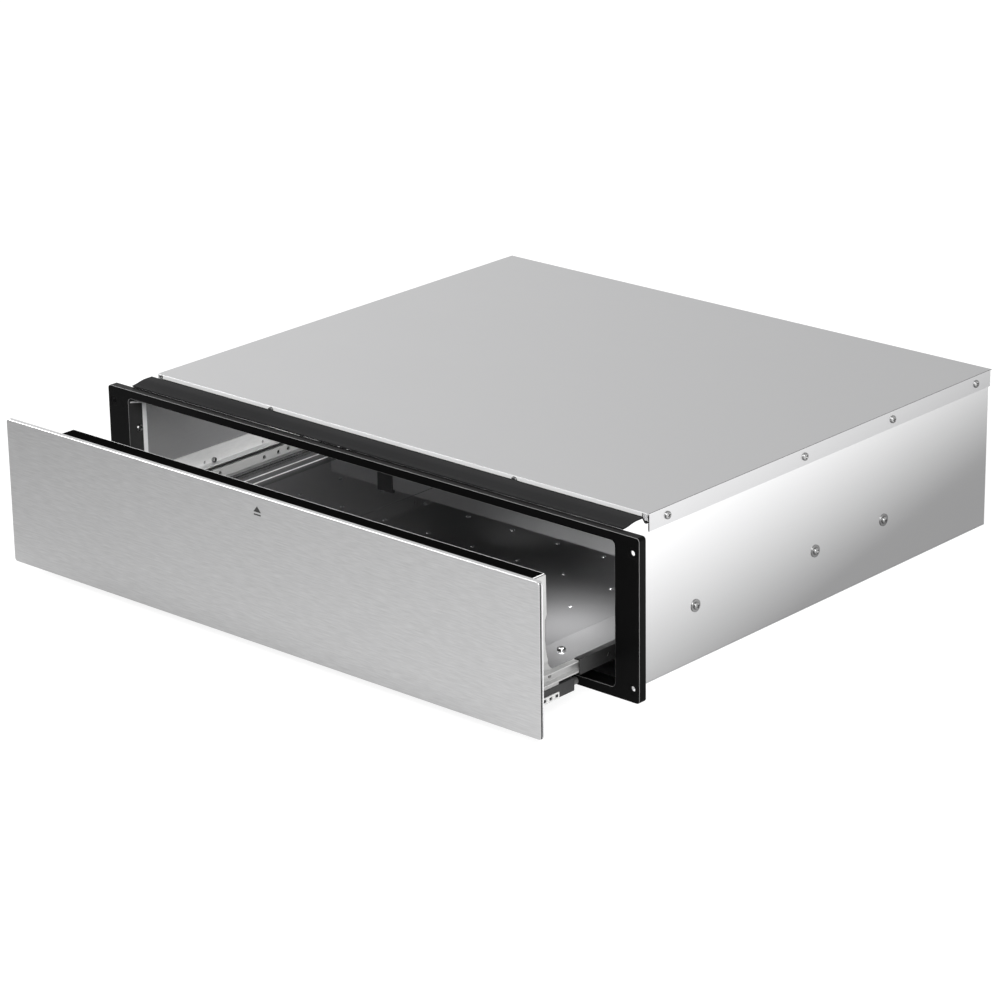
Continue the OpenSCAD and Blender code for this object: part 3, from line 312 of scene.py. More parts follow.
def rolled(node, name, edge_round, material, steps=2, painted_edge_highlight=None, least=0.0009):
    """The CAD shape with its corners merged and its edges rolled over, which may carry a painted
    highlight

    Edges shorter than least stay as they are, because they make up round holes.
    """
    flat_turn, sharp_turn, smooth_turn = radians(0.5), radians(32), radians(40)
    piece = bpy.data.objects.new(name, frame["nodes"][node].data.copy())
    bpy.context.scene.collection.objects.link(piece)
    select_only(piece)
    bpy.ops.object.mode_set(mode="EDIT")
    bpy.ops.mesh.select_all(action="SELECT")
    bpy.ops.mesh.customdata_custom_splitnormals_clear()
    bpy.ops.mesh.remove_doubles(threshold=same_place)
    bpy.ops.mesh.dissolve_limited(angle_limit=flat_turn)
    body = bmesh.from_edit_mesh(piece.data)
    weight = body.edges.layers.float.new("bevel_weight_edge")
    for edge in body.edges:
        sharp = len(edge.link_faces) == 2 and edge.calc_face_angle(0) > sharp_turn
        if sharp and edge.calc_length() > least:
            edge[weight] = 1
    bmesh.update_edit_mesh(piece.data)
    bpy.ops.object.mode_set(mode="OBJECT")
    roll_over = piece.modifiers.new("roll_over", "BEVEL")
    roll_over.width = edge_round
    roll_over.segments = steps
    roll_over.limit_method = "WEIGHT"
    piece.data.materials.clear()
    piece.data.materials.append(material)
    # The rolled edges may take a second material, a painted highlight
    if painted_edge_highlight:
        piece.data.materials.append(painted_edge_highlight)
        roll_over.material = 1
    bpy.ops.object.modifier_apply(modifier=roll_over.name)
    bpy.ops.object.shade_smooth_by_angle(angle=smooth_turn)
    flats = piece.modifiers.new("keep_flats_flat", "WEIGHTED_NORMAL")
    flats.keep_sharp = True
    bpy.ops.object.modifier_apply(modifier=flats.name)
    return dress(piece, node, material)


frame_black = finish("frame_black_coat", (0.004, 0.004, 0.0041), metallic=0, roughness=0.3,
                     grain=(900, 900, 900), tone=0.1, relief=0.06, gloss=0.03)
# Painted highlight: the frame's rolled edges are painted grey, so that they show as thin light lines
frame_edge_painted_highlight = finish("black_edge_painted_highlight", (0.3, 0.3, 0.3), metallic=0, roughness=0.3,
                   grain=(900, 900, 900), tone=0.2, relief=0.06, gloss=0.3)
# Painted light: the jambs, of the same coat, are painted a lighter black
jamb_painted_light = finish("jamb_coat_painted_light", (0.035, 0.035, 0.035), metallic=0, roughness=0.4,
                    grain=(900, 900, 900), tone=0.15, relief=0.06, gloss=0.1)
niche = rolled("front_frame", "niche_frame", 0.0005, frame_black, steps=3,
               painted_edge_highlight=frame_edge_painted_highlight, least=0.00035)
niche.data.materials.append(jamb_painted_light)
# A face looks squarely along an axis when its normal has more than this share there
squarely = 0.9
jamb_x = 0.2732
hole_x, low_hole_z, high_hole_z, hole_ring = 0.2905, 0.0113, 0.124, 0.0055
hole_places = [Vector((x, z)) for x in (-hole_x, hole_x) for z in (low_hole_z, high_hole_z)]
# The jambs facing each other across the opening take the painted lighter black, and the rings round the
# screw holes keep the plain coat
for face in niche.data.polygons:
    if abs(face.normal.x) > squarely and abs(face.center.x) < jamb_x:
        face.material_index = 2
    elif any((Vector((face.center.x, face.center.z)) - hole).length < hole_ring for hole in hole_places):
        face.material_index = 0

# Corner gussets of the frame
# Two bright triangles of zinc plated steel sheet.
# They are spot welded across the opening's upper corners and hold them square.
zinc = finish("zinc_plate", (0.72, 0.72, 0.725), metallic=0.4, roughness=0.36,
              grain=(260, 260, 260), tone=0.12, relief=0.05, smudge=0.25)
rolled("frame_corner_brackets", "frame_gussets", 0.0002, zinc)

# Roof strip
# Charcoal strip that rises from the frame to a crest and dips before the cover's lip.
# It is folded from thin sheet and has a matt powder coat.
strip_grey = finish("roof_strip_coat", (0.014, 0.014, 0.0145), metallic=0, roughness=0.55,
                    grain=(1400, 1400, 1400), tone=0.12, relief=0.12, gloss=0.05)
rolled("roof_strip", "roof_valley_strip", 0.0003, strip_grey)

# Side panels
# Bright mill-finished steel with a hem at the front and a flange at the rear.
# The long grain of the rolled sheet runs from front to rear. Its inner face is rougher and painted
# darker, a painted shade for the inside of the cabinet, and the inside of its front hem carries a
# painted highlight.
side_steel = finish("side_mill_steel", (0.68, 0.68, 0.684), metallic=1, roughness=0.16,
                    grain=(900, 25, 900), tone=0.02, relief=0.008, smudge=0.12)
hem_painted_highlight = finish("hem_steel_painted_highlight", (0.9, 0.9, 0.9), metallic=0.15, roughness=0.4,
                    grain=(700, 700, 700), tone=0.03, relief=0.02)
inner_steel_painted_shade = finish("inner_mill_steel_painted_shade", (0.34, 0.34, 0.343), metallic=0.5, roughness=0.4,
                     grain=(500, 60, 500), tone=0.05, relief=0.02, smudge=0.2)
hem_start, hem_wide, hem_round, wall_skin = 0.008, 0.005, 0.0002, 0.0012
for side in ("left", "right"):
    wall = rolled(side + "_side_panel", side + "_cabinet_side", 0.0002, side_steel)
    wall.data.materials.append(hem_painted_highlight)
    wall.data.materials.append(inner_steel_painted_shade)
    wall_low, wall_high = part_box(side + "_side_panel")
    hem_middle = wall_low.y + hem_start + hem_wide / 2
    inner_x = max(abs(wall_low.x), abs(wall_high.x)) - wall_skin
    # Painted highlight on the hem's inner face, and painted shade on the faces turned into the cabinet
    for face in wall.data.polygons:
        from_hem = abs(face.center.y - hem_middle)
        if from_hem < hem_wide / 2 + hem_round and abs(face.center.x) < inner_x:
            face.material_index = 1
        elif face.normal.x * face.center.x < 0 and abs(face.normal.x) > squarely:
            face.material_index = 2

# Base and back of the cabinet
# Galvanised sheet with a faint spangle. The base has flanges turned up inside the sides.
# The back has five vent slots and the gland's hole, and is screwed to the sides' rear flanges.
spangle = finish("galvanised_sheet", (0.56, 0.57, 0.58), metallic=1, roughness=0.36,
                 grain=(120, 120, 120), tone=0.14, relief=0.03, smudge=0.3)
rolled("bottom_panel", "cabinet_base", 0.0002, spangle)
rolled("back_panel", "cabinet_back", 0.0002, spangle)

# Top cover
# Satin steel lid, folded down at the front, sides and rear, open at its front corners.
# Its front lip carries a painted highlight, the fold of its right flange a painted dark line of shade,
# and its underside painted shade.
cover_steel = finish("cover_satin_steel", (0.51, 0.51, 0.515), metallic=1, roughness=0.3,
                     grain=(1600, 60, 1600), tone=0.02, relief=0.01, smudge=0.08)
lip_painted_highlight = finish("lip_edge_painted_highlight", (0.88, 0.88, 0.88), metallic=0.2, roughness=0.4,
                    grain=(700, 700, 700), tone=0.03, relief=0.02)
fold_painted_shade = finish("lid_fold_painted_shade", (0.05, 0.05, 0.05), metallic=0.5, roughness=0.4,
                   grain=(700, 700, 700), tone=0.1, relief=0.02, gloss=0.1)
lid = rolled("top_cover", "cabinet_lid", 0.0005, cover_steel, steps=3)
lid.data.materials.append(lip_painted_highlight)
lid.data.materials.append(fold_painted_shade)
lid.data.materials.append(inner_steel_painted_shade)
lid_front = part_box("top_cover")[0].y
lip_reach, fold_slant = 0.0006, 0.3
# A face leans towards an axis when its normal has more than this share there
leaning = 0.5
# Painted highlight on the front lip, a painted line of shade on the right flange's fold, and painted
# shade on the underside
for face in lid.data.polygons:
    on_lip = face.normal.y < -leaning and face.center.y < lid_front + lip_reach
    if on_lip and face.normal.z < leaning:
        face.material_index = 1
    elif face.normal.x > fold_slant and face.normal.z > fold_slant:
        face.material_index = 2
    elif face.normal.z < -squarely:
        face.material_index = 3

# Screws
# Zinc plated steel screws with a pan head and a cross recess, cold headed from wire.
# One is made for each row, and a copy goes where each CAD screw sits.
screw_zinc = finish("screw_zinc", (0.3, 0.3, 0.3), metallic=1, roughness=0.24,
                    grain=(2500, 2500, 2500), tone=0.12, relief=0.05)
screw_dark = finish("screw_black_zinc", (0.1, 0.1, 0.1), metallic=0.6, roughness=0.3,
                    grain=(2500, 2500, 2500), tone=0.2, relief=0.05)
# Painted shade for the walls and floor of the screws' cross recesses
recess_painted_shade = finish("recess_painted_shade", (0.02, 0.02, 0.02), metallic=0.3, roughness=0.5,
                      grain=(2500, 2500, 2500), tone=0.2, relief=0.05, gloss=0.1)


def loose_solids(node):
    """Lowest and highest corner of each separate solid of a CAD node"""
    body = bmesh.new()
    body.from_mesh(frame["nodes"][node].data)
    bmesh.ops.remove_doubles(body, verts=body.verts, dist=same_place)
    seen = set()
    found = []
    for start in body.verts:
        if start in seen:
            continue
        seen.add(start)
        group = [start]
        for vert in group:
            for edge in vert.link_edges:
                other = edge.other_vert(vert)
                if other not in seen:
                    seen.add(other)
                    group.append(other)
        places = [vert.co for vert in group]
        low = Vector([min(place[axis] for place in places) for axis in range(3)])
        high = Vector([max(place[axis] for place in places) for axis in range(3)])
        found.append((low, high))
    body.free()
    return found


def cross_head(head_radius, head_height, shank_radius, length):
    """A pan-head screw whose head stands on z = 0, with its shank below"""
    rim_share, dome_share = 0.9, 0.8
    slot_long_share, slot_wide_share = 1.15, 0.27
    recess_wide_share, recess_low_share, recess_floor_share, steep = 0.6, 0.45, 0.55, 0.3
    bpy.ops.object.select_all(action="DESELECT")
    bpy.ops.mesh.primitive_cylinder_add(vertices=32, radius=head_radius, depth=head_height,
                                        location=(0, 0, head_height / 2))
    screw = bpy.context.object
    bpy.ops.object.transform_apply(location=True, rotation=False, scale=False)
    bpy.ops.object.mode_set(mode="EDIT")
    body = bmesh.from_edit_mesh(screw.data)
    for edge in body.edges:
        edge.select_set(all(vert.co.z > head_height * rim_share for vert in edge.verts))
    body.select_flush_mode()
    bpy.ops.mesh.bevel(offset=head_height * dome_share, segments=5, affect="EDGES")
    bpy.ops.mesh.select_all(action="DESELECT")
    body = bmesh.from_edit_mesh(screw.data)
    for face in body.faces:
        face.select_set(face.normal.z < -squarely)
    bpy.ops.mesh.inset(thickness=head_radius - shank_radius)
    bpy.ops.mesh.extrude_region_move(TRANSFORM_OT_translate={"value": (0, 0, -length)})
    bpy.ops.object.mode_set(mode="OBJECT")
    for turn in (0, 90):
        bpy.ops.object.select_all(action="DESELECT")
        bpy.ops.mesh.primitive_cube_add(size=1, location=(0, 0, head_height))
        slot_cutter = bpy.context.object
        slot_cutter.scale = (head_radius * slot_long_share, head_radius * slot_wide_share, head_height)
        slot_cutter.rotation_euler.z = radians(turn)
        select_only(screw)
        recess = screw.modifiers.new("cross_recess", "BOOLEAN")
        recess.object = slot_cutter
        recess.operation = "DIFFERENCE"
        bpy.ops.object.modifier_apply(modifier=recess.name)
        bpy.data.objects.remove(slot_cutter)
    # The walls and floor of the cross recess take the painted shade
    for face in screw.data.polygons:
        inside = face.center.xy.length < head_radius * recess_wide_share
        inside = inside and face.center.z > head_height * recess_low_share
        on_floor = face.center.z < head_height * recess_floor_share
        if inside and (abs(face.normal.z) < steep or on_floor):
            face.material_index = 1
    bpy.ops.object.shade_smooth_by_angle(angle=radians(35))
    return screw


def drive_screws(node, name, outward, material=screw_zinc, head_share=1):
    """Screws in the places of a CAD node; outward gives the way that a solid's head faces"""
    head_height_share, shank_share = 0.57, 0.57
    first_turn, next_turn = 20, 37
    solids = loose_solids(node)
    way = outward(solids[0])
    size = solids[0][1] - solids[0][0]
    across = min(size[axis] for axis in range(3) if abs(way[axis]) < leaning) / 2
    deep = sum(abs(way[axis]) * size[axis] for axis in range(3))
    head_height = across * head_height_share
    pattern = cross_head(across * head_share, head_height * head_share, across * shank_share,
                         deep - head_height)
    copies = []
    for count, (low, high) in enumerate(solids):
        way = outward((low, high))
        seat = (low + high) / 2 + way * (deep / 2 - head_height)
        placed = pattern.data.copy()
        placed.transform(Matrix.Rotation(radians(first_turn + next_turn * count), 4, "Z"))
        placed.transform(way.to_track_quat("Z", "Y").to_matrix().to_4x4())
        placed.transform(Matrix.Translation(seat))
        copy = bpy.data.objects.new(name, placed)
        bpy.context.scene.collection.objects.link(copy)
        copies.append(copy)
    bpy.data.objects.remove(pattern)
    bpy.ops.object.select_all(action="DESELECT")
    for copy in copies:
        copy.select_set(True)
    bpy.context.view_layer.objects.active = copies[0]
    bpy.ops.object.join()
    row = bpy.context.object
    row.name = name
    row.data.materials.append(material)
    row.data.materials.append(recess_painted_shade)
    dress(row, node, material)


def to_the_side(solid):
    """Away from the middle of the cabinet, to the left or the right"""
    return Vector((1 if solid[0].x > 0 else -1, 0, 0))


def to_the_middle(solid):
    """Towards the middle of the cabinet, from the left or the right"""
    return -to_the_side(solid)


drive_screws("cover_side_screws", "lid_flange_screws", to_the_side, head_share=1.2)
drive_screws("cover_lip_screws", "lid_lip_screws", lambda solid: Vector((0, -1, 0)), screw_dark)
drive_screws("back_screws", "cabinet_back_screws", lambda solid: Vector((0, 1, 0)))
drive_screws("rail_screws", "runner_rail_screws", to_the_side, head_share=1.15)
drive_screws("frame_screws", "frame_lip_screws", to_the_middle, head_share=1.3)
drive_screws("bracket_screws", "bracket_foot_screws", to_the_middle)
drive_screws("tray_screws", "tray_margin_screws", lambda solid: Vector((0, 0, 1)), head_share=1.35)

# Washers and clinch nuts of the rail screws
# Stamped washers of zinc plated steel lie outside, under the screw heads.
# The nuts are turned, and pressed into the rails inside.
rolled("rail_washers", "rail_screw_washers", 0.0002, screw_zinc, least=0)
rolled("rail_nuts", "rail_clinch_nuts", 0.0002, screw_zinc, least=0)

# Runners
# Three members a side, roll-formed from strip: the rails zinc plated and a little milky, the middle
# member painted near-black, a painted shade for where it lies under the tray's edge. The rail is fixed,
# and the middle one follows at half the drawer's way.
runner_zinc = finish("runner_zinc", (0.8, 0.8, 0.795), metallic=0.35, roughness=0.36,
                     grain=(500, 120, 500), tone=0.1, relief=0.04, smudge=0.3)
runner_painted_shade = finish("runner_middle_painted_shade", (0.05, 0.05, 0.05), metallic=0.8, roughness=0.32,
                     grain=(500, 120, 500), tone=0.15, relief=0.04, smudge=0.3)
cheek_zinc = finish("cheek_zinc", (0.52, 0.52, 0.516), metallic=0.35, roughness=0.36,
                    grain=(500, 120, 500), tone=0.1, relief=0.04, smudge=0.3)
strip_round = 0.00025
for side in ("left", "right"):
    rolled(side + "_runner_rail", side + "_outer_rail", strip_round, runner_zinc)
    rolled(side + "_runner_middle", side + "_middle_rail", strip_round, runner_painted_shade)
    rolled(side + "_drawer_runner", side + "_inner_rail", strip_round, cheek_zinc)

# Terminal box and gland
# Moulded black box on the inside of the back, open towards it, where the mains is joined.
# The gland goes through the back and is held by its nut from inside.
black_moulding = finish("black_moulding", (0.02, 0.02, 0.021), metallic=0, roughness=0.42,
                        grain=(1500, 1500, 1500), tone=0.15, relief=0.1)
rolled("terminal_box", "mains_terminal_box", 0.0006, black_moulding)
rolled("cable_gland", "mains_gland", 0.0008, black_moulding, steps=3, least=0)
rolled("gland_nut", "mains_gland_nut", 0.0004, black_moulding, least=0)

# Latch strikers
# Zinc plated angles on the cabinet's base, one a side.
# The latch plungers push against them when the drawer is shut.
for side in ("left", "right"):
    rolled(side + "_latch_striker", side + "_striker_angle", 0.0002, zinc)

# Front panel
# A brushed steel skin, folded back along its top, over a dark board with a steel liner.
# The forming rolls the skin's front edges round, and the cut sides of its sheet stay dark.
panel_steel = finish("panel_brushed_steel", (0.52, 0.52, 0.523), metallic=1, roughness=0.3,
                     grain=(70, 70, 900), tone=0.22, relief=0.1, smudge=0.06)
core_black = finish("board_black", (0.02, 0.02, 0.02), metallic=0, roughness=0.6,
                    grain=(700, 700, 700), tone=0.2, relief=0.1)
skin_low, skin_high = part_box("front_skin")
corner_round, edge_round, skin_thick = 0.003, 0.0008, 0.001
cutter_wide, cutter_deep, cutter_high = 1, 0.05, 0.5
on_front, along_depth = 0.0001, 0.001
bpy.ops.object.select_all(action="DESELECT")
bpy.ops.mesh.primitive_cube_add(size=1, location=(skin_low + skin_high) / 2)
skin = bpy.context.object
skin.name = "brushed_front_skin"
skin.scale = skin_high - skin_low
bpy.ops.object.transform_apply(location=True, rotation=True, scale=True)
bpy.ops.object.mode_set(mode="EDIT")
body = bmesh.from_edit_mesh(skin.data)
for edge in body.edges:
    edge.select_set(abs(edge.verts[0].co.y - edge.verts[1].co.y) > along_depth)
bpy.ops.mesh.bevel(offset=corner_round, segments=8, affect="EDGES")
bpy.ops.mesh.select_all(action="DESELECT")
body = bmesh.from_edit_mesh(skin.data)
for edge in body.edges:
    edge.select_set(all(vert.co.y < skin_low.y + on_front for vert in edge.verts))
bpy.ops.mesh.bevel(offset=edge_round, segments=5, affect="EDGES")
bpy.ops.object.mode_set(mode="OBJECT")
bpy.ops.object.select_all(action="DESELECT")
bpy.ops.mesh.primitive_cube_add(size=1, location=(0, skin_low.y + skin_thick + cutter_deep / 2,
                                                  skin_high.z - skin_thick - cutter_high / 2))
hollow_cutter = bpy.context.object
hollow_cutter.scale = (cutter_wide, cutter_deep, cutter_high)
select_only(skin)
hollow = skin.modifiers.new("hollow", "BOOLEAN")
hollow.object = hollow_cutter
hollow.operation = "DIFFERENCE"
bpy.ops.object.modifier_apply(modifier=hollow.name)
bpy.data.objects.remove(hollow_cutter)
bpy.ops.object.shade_smooth_by_angle(angle=radians(30))
dress(skin, "front_skin", panel_steel)
skin.data.materials.append(core_black)
for face in skin.data.polygons:
    if abs(face.normal.x) > squarely and face.center.y > skin_low.y + edge_round / 2:
        face.material_index = 1
rolled("front_backing", "panel_core_board", 0.0002, core_black)
rolled("front_liner", "panel_rear_liner", 0.0003, zinc)

# Mark on the panel
# A small triangle over a bar marks where a hand presses the panel.
# It is plain black ink, printed on the skin.
ink = finish("black_ink", (0.012, 0.012, 0.012), metallic=0, roughness=0.45,
             grain=(3000, 3000, 3000), tone=0.2, relief=0.02)
mark_x, mark_top, mark_wide, mark_high, ink_thick = 0.0009, 0.1281, 0.0084, 0.0050, 0.00006
bar_wide, bar_high, bar_gap = 0.0076, 0.0012, 0.0016
peak_merge = 0.00001
ink_y = skin_low.y - ink_thick
mark_middle = mark_top - mark_high / 2
bar_middle = mark_top - mark_high - bar_gap - bar_high / 2
upright = (radians(90), 0, 0)
bpy.ops.object.select_all(action="DESELECT")
bpy.ops.mesh.primitive_plane_add(size=1, location=(mark_x, ink_y, mark_middle), rotation=upright)
triangle = bpy.context.object
triangle.name = "push_mark"
triangle.scale = (mark_wide, mark_high, 1)
bpy.ops.object.transform_apply(location=True, rotation=True, scale=True)
for vert in triangle.data.vertices:
    if vert.co.z > mark_middle:
        vert.co.x = mark_x
bpy.ops.object.mode_set(mode="EDIT")
bpy.ops.mesh.select_all(action="SELECT")
bpy.ops.mesh.remove_doubles(threshold=peak_merge)
bpy.ops.mesh.primitive_plane_add(size=1, location=(mark_x, ink_y, bar_middle), rotation=upright)
bpy.ops.transform.resize(value=(bar_wide, 1, bar_high))
bpy.ops.mesh.select_all(action="SELECT")
bpy.ops.mesh.extrude_region_move(TRANSFORM_OT_translate={"value": (0, ink_thick, 0)})
bpy.ops.mesh.select_all(action="SELECT")
bpy.ops.mesh.normals_make_consistent(inside=False)
bpy.ops.object.mode_set(mode="OBJECT")
triangle.data.materials.append(ink)
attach(triangle, "drawer")

# Bumpers
# Soft buttons moulded from black rubber, stuck to the panel's back near its corners.
# They meet the frame when the drawer shuts.
rubber = finish("bumper_rubber", (0.022, 0.022, 0.022), metallic=0, roughness=0.7,
                grain=(1200, 1200, 1200), tone=0.15, relief=0.15)
rolled("panel_bumpers", "panel_rubber_bumpers", 0.0003, rubber, least=0)

# Crossmember
# A hollow black beam behind the panel, made of three folded sheets: a rear wall for the controls,
# a lid and a base. The lid's rolled edges and a thin strip along its rear edge carry a painted
# highlight, a bright line.
gloss_black = finish("crossmember_black", (0.003, 0.003, 0.003), metallic=0, roughness=0.3,
                     grain=(800, 800, 800), tone=0.1, relief=0.04, gloss=0)
beam_painted_highlight = finish("crossmember_edge_painted_highlight", (0.95, 0.95, 0.95), metallic=0, roughness=0.4,
                     grain=(900, 900, 900), tone=0.1, relief=0.04)
rolled("crossmember", "crossmember_rear_wall", 0.0002, gloss_black)
beam_lid = rolled("crossmember_top", "crossmember_lid", 0.0005, gloss_black, steps=3,
                  painted_edge_highlight=beam_painted_highlight)
highlight_wide, highlight_slant = 0.0008, 0.3
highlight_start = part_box("crossmember_top")[1].y - highlight_wide
select_only(beam_lid)
bpy.ops.object.mode_set(mode="EDIT")
bpy.ops.mesh.select_all(action="SELECT")
bpy.ops.mesh.bisect(plane_co=(0, highlight_start, 0), plane_no=(0, 1, 0))
bpy.ops.object.mode_set(mode="OBJECT")
# The painted highlight on the strip of the top along its rear edge
for face in beam_lid.data.polygons:
    if face.normal.z > highlight_slant and face.center.y > highlight_start:
        face.material_index = 1
rolled("crossmember_base", "crossmember_floor", 0.0002, gloss_black)

# End brackets
# Pale steel cheeks that carry the panel, with their feet screwed to the drawer runners.
# They are cut from sheet to a curve, and step inwards above the foot.
for side in ("left", "right"):
    rolled(side + "_end_bracket", side + "_panel_cheek", 0.0003, cheek_zinc)

# Tray
# Polished sheet with level margins, pressed beads and a low back wall of satin steel.
# The beads and the right edge carry a painted highlight, and the left margin and the hem beside it a
# painted shade.
tray_steel = finish("tray_polished_steel", (0.56, 0.56, 0.565), metallic=0.93, roughness=0.2,
                    grain=(700, 40, 700), tone=0.03, relief=0.01, smudge=0.2)
bead_painted_highlight = finish("bead_steel_painted_highlight", (0.85, 0.85, 0.85), metallic=0.3, roughness=0.35,
                     grain=(700, 40, 700), tone=0.03, relief=0.02)
margin_painted_shade = finish("margin_polish_painted_shade", (0.08, 0.08, 0.082), metallic=0.95, roughness=0.12,
                     grain=(700, 40, 700), tone=0.03, relief=0.01)
wall_satin = finish("tray_wall_satin", (0.33, 0.33, 0.333), metallic=0.4, roughness=0.45,
                    grain=(700, 40, 700), tone=0.04, relief=0.02)
pan = rolled("tray", "warming_tray", 0.0002, tray_steel)
pan.data.materials.append(bead_painted_highlight)
pan.data.materials.append(margin_painted_shade)
pan.data.materials.append(wall_satin)
tray_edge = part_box("tray")[1]
bead_places, bead_reach, bead_lift = (0.0181, 0.0291), 0.0009, 0.00005
hem_thick, margin_top, wall_reach = 0.001, 0.0336, 0.002
wall_start = tray_edge.y - wall_reach
# Painted highlight on the beads and the right edge, and painted shade on the left margin
for face in pan.data.polygons:
    inset = tray_edge.x - abs(face.center.x)
    on_bead = any(abs(inset - place) < bead_reach for place in bead_places)
    on_bead = on_bead and face.center.z > margin_top + bead_lift
    on_margin = face.normal.z > squarely and abs(face.center.z - margin_top) < hem_thick
    if on_bead and face.center.y < wall_start:
        face.material_index = 1
    elif face.center.x < 0 and on_margin:
        face.material_index = 2
    elif face.center.y > wall_start and face.center.z > margin_top:
        face.material_index = 3
    elif face.normal.x > leaning and inset < hem_thick / 2:
        face.material_index = 1

# Floor plates
# Two dark polished steel plates that meet at one joint, laid on the tray's sunk floor.
# Rows of small pressed domes keep dishes off the heat.
floor_dark = finish("floor_dark_polish", (0.39, 0.39, 0.395), metallic=0.92, roughness=0.05,
                    grain=(500, 500, 500), tone=0.04, relief=0.01, smudge=0.2)
# Painted light: the floor's colour is painted brighter from the left and rear to the right and front,
# where more light falls
depth_share, painted_light_start, painted_light_end, painted_light_low, painted_light_high = -0.6, 0.11, 0.225, 0.6, 1.3
floor_nodes, floor_links = floor_dark.node_tree.nodes, floor_dark.node_tree.links
floor_shader = floor_nodes["Principled BSDF"]
even_polish = floor_shader.inputs["Base Color"].links[0].from_socket
floor_spot = floor_nodes.new("ShaderNodeTexCoord")
floor_parts = floor_nodes.new("ShaderNodeSeparateXYZ")
floor_links.new(floor_spot.outputs["Object"], floor_parts.inputs[0])
painted_light_sweep = sums(floor_nodes, floor_links, "MULTIPLY_ADD", floor_parts.outputs["Y"], depth_share,
            floor_parts.outputs["X"])
painted_light_range = floor_nodes.new("ShaderNodeMapRange")
painted_light_range.interpolation_type = "SMOOTHSTEP"
painted_light_range.inputs["From Min"].default_value = painted_light_start
painted_light_range.inputs["From Max"].default_value = painted_light_end
painted_light_range.inputs["To Min"].default_value = painted_light_low
painted_light_range.inputs["To Max"].default_value = painted_light_high
floor_links.new(painted_light_sweep, painted_light_range.inputs["Value"])
# The even colour is scaled by the painted light
polish_with_painted_light = floor_nodes.new("ShaderNodeVectorMath")
polish_with_painted_light.operation = "SCALE"
floor_links.new(even_polish, polish_with_painted_light.inputs[0])
floor_links.new(painted_light_range.outputs["Result"], polish_with_painted_light.inputs["Scale"])
floor_links.new(polish_with_painted_light.outputs[0], floor_shader.inputs["Base Color"])
plate_low, plate_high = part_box("floor_plates")
dome_high, dome_wide, dome_pitch, dome_first = 0.0008, 0.0019, 0.0506, 0.0289
plate_top = plate_high.z - dome_high
plate_round = 0.0002
joint_x, joint_wide, joint_reach, level_top = -0.098, 0.0006, 0.0003, 0.99
plate_sides = ((plate_low.x, joint_x - joint_wide / 2), (joint_x + joint_wide / 2, plate_high.x))
plates = []
for left_edge, right_edge in plate_sides:
    bpy.ops.object.select_all(action="DESELECT")
    low = Vector((left_edge, plate_low.y, plate_low.z))
    high = Vector((right_edge, plate_high.y, plate_top))
    bpy.ops.mesh.primitive_cube_add(size=1, location=(low + high) / 2)
    plate = bpy.context.object
    plate.scale = high - low
    bpy.ops.object.transform_apply(location=True, rotation=True, scale=True)
    bpy.ops.object.mode_set(mode="EDIT")
    bpy.ops.mesh.select_all(action="SELECT")
    bpy.ops.mesh.bevel(offset=plate_round, segments=2, affect="EDGES")
    bpy.ops.object.mode_set(mode="OBJECT")
    plates.append(plate)
bpy.ops.object.select_all(action="DESELECT")
bpy.ops.mesh.primitive_uv_sphere_add(segments=16, ring_count=8, radius=dome_wide)
dome = bpy.context.object
dome.scale = (1, 1, dome_high / dome_wide)
bpy.ops.object.transform_apply(location=False, rotation=False, scale=True)
bpy.ops.object.mode_set(mode="EDIT")
bpy.ops.mesh.select_all(action="SELECT")
bpy.ops.mesh.bisect(plane_co=(0, 0, 0), plane_no=(0, 0, 1), clear_inner=True, use_fill=True)
bpy.ops.object.mode_set(mode="OBJECT")
bpy.ops.object.shade_smooth_by_angle(angle=radians(50))
columns = int((plate_high.x - plate_low.x - dome_pitch / 2) / dome_pitch)
rows = int((plate_high.y - plate_low.y - dome_first) / dome_pitch) + 1
for column in range(columns):
    for row in range(rows):
        placed = dome.data.copy()
        placed.transform(Matrix.Translation(((column - (columns - 1) / 2) * dome_pitch,
                                             plate_low.y + dome_first + row * dome_pitch, plate_top)))
        copy = bpy.data.objects.new("dome", placed)
        bpy.context.scene.collection.objects.link(copy)
        plates.append(copy)
bpy.data.objects.remove(dome)
bpy.ops.object.select_all(action="DESELECT")
for piece in plates:
    piece.select_set(True)
bpy.context.view_layer.objects.active = plates[0]
bpy.ops.object.join()
domed_plates = plates[0]
domed_plates.name = "domed_floor_plates"
domed_plates.data.materials.append(floor_dark)
domed_plates.data.materials.append(core_black)
for face in domed_plates.data.polygons:
    if abs(face.center.x - joint_x) < joint_wide / 2 + joint_reach and face.normal.z < level_top:
        face.material_index = 1
dress(domed_plates, "floor_plates", floor_dark)

# Heating layers
# A silicone mat with its heating wire moulded in is stuck under the tray's floor.
# Below it come a pressed fibre board and a galvanised steel pan that closes the layers.
mat_red = finish("mat_silicone", (0.33, 0.09, 0.045), metallic=0, roughness=0.6,
                 grain=(300, 300, 300), tone=0.12, relief=0.15)
fibre = finish("pressed_fibre", (0.66, 0.6, 0.46), metallic=0, roughness=0.85,
               grain=(400, 400, 400), tone=0.2, relief=0.4)
rolled("heating_mat", "silicone_heating_mat", 0.0003, mat_red)
rolled("insulation_board", "fibre_insulation_board", 0.0006, fibre)
rolled("heater_pan", "heater_bottom_pan", 0.0003, spangle)

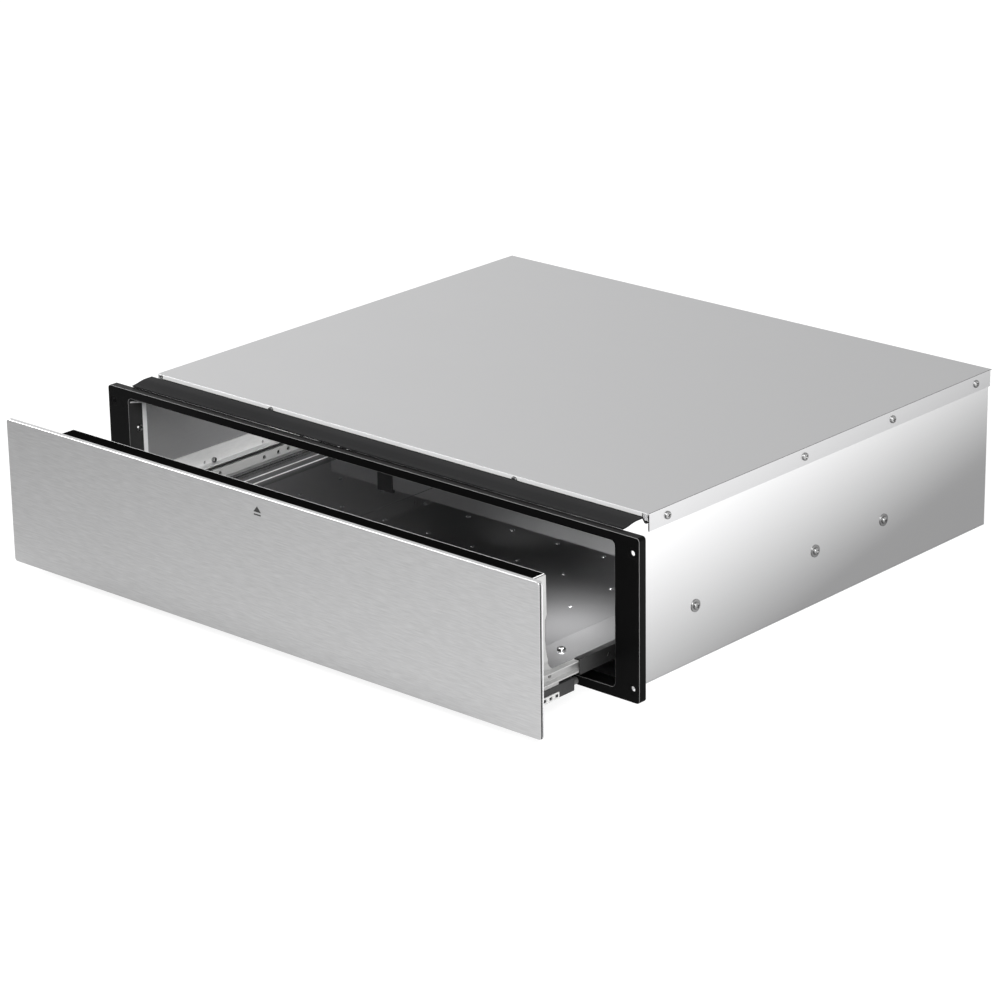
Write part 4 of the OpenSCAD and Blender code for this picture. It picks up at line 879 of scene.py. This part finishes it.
# Cut-out and lead clip at the tray's back wall
# A bimetal switch with two blades in a bright metal case, fixed behind the wall against overheating.
# The black moulded clip sits over the wall and guides the heater's lead.
bimetal = finish("bimetal_case", (0.58, 0.56, 0.52), metallic=1, roughness=0.4,
                 grain=(900, 900, 900), tone=0.1, relief=0.08)
rolled("thermal_cutout", "bimetal_cutout", 0.0003, bimetal, least=0)
rolled("lead_clip", "heater_lead_clip", 0.0004, black_moulding)

# Controls
# Set in the crossmember's rear wall: a thermostat in a metal case with a steel shaft and a fluted
# knob, a red mains rocker on a steel pin in its black housing, and an amber pilot lamp.
switch_red = finish("switch_red", (0.42, 0.018, 0.014), metallic=0, roughness=0.25,
                    grain=(900, 900, 900), tone=0.06, relief=0.02, coat=0.3)
lamp_amber = finish("lamp_amber", (0.75, 0.28, 0.03), metallic=0, roughness=0.18,
                    grain=(600, 600, 600), tone=0.1, relief=0.02, coat=0.5)
rolled("thermostat", "thermostat_body", 0.0006, bimetal)
rolled("knob_shaft", "thermostat_shaft", 0.0003, screw_zinc, least=0)
rolled("control_knob", "heat_knob", 0.0003, black_moulding, least=0)
rolled("switch_housing", "mains_switch_housing", 0.0003, black_moulding)
rolled("rocker", "mains_rocker", 0.0005, switch_red, steps=3)
rolled("rocker_pin", "mains_rocker_pin", 0.0002, screw_zinc, least=0)
rolled("pilot_lamp", "pilot_lamp_lens", 0.0005, lamp_amber, steps=3, least=0)

# Push latches
# Black moulded bodies under the bracket feet, with slotted spring clips of zinc plated steel.
# Each holds a sprung plunger of dark grey plastic, which pushes the drawer open.
plunger_grey = finish("pale_moulding", (0.09, 0.09, 0.088), metallic=0, roughness=0.4,
                      grain=(900, 900, 900), tone=0.05, relief=0.04)
bore_clearance = 0.00015
rolled("latch_clips", "latch_spring_clips", 0.0002, runner_zinc)
for side in ("left", "right"):
    rolled(side + "_latch_body", side + "_latch_case", 0.0005, black_moulding)
    pin = rolled(side + "_latch_plunger", side + "_latch_pin", 0.0003, plunger_grey,
                 least=0)
    # The inner end stops short of the bore's floor when the plunger is pressed right in
    inner_end = min(vertex.co.y for vertex in pin.data.vertices) + bore_clearance
    for vertex in pin.data.vertices:
        vertex.co.y = max(vertex.co.y, inner_end)
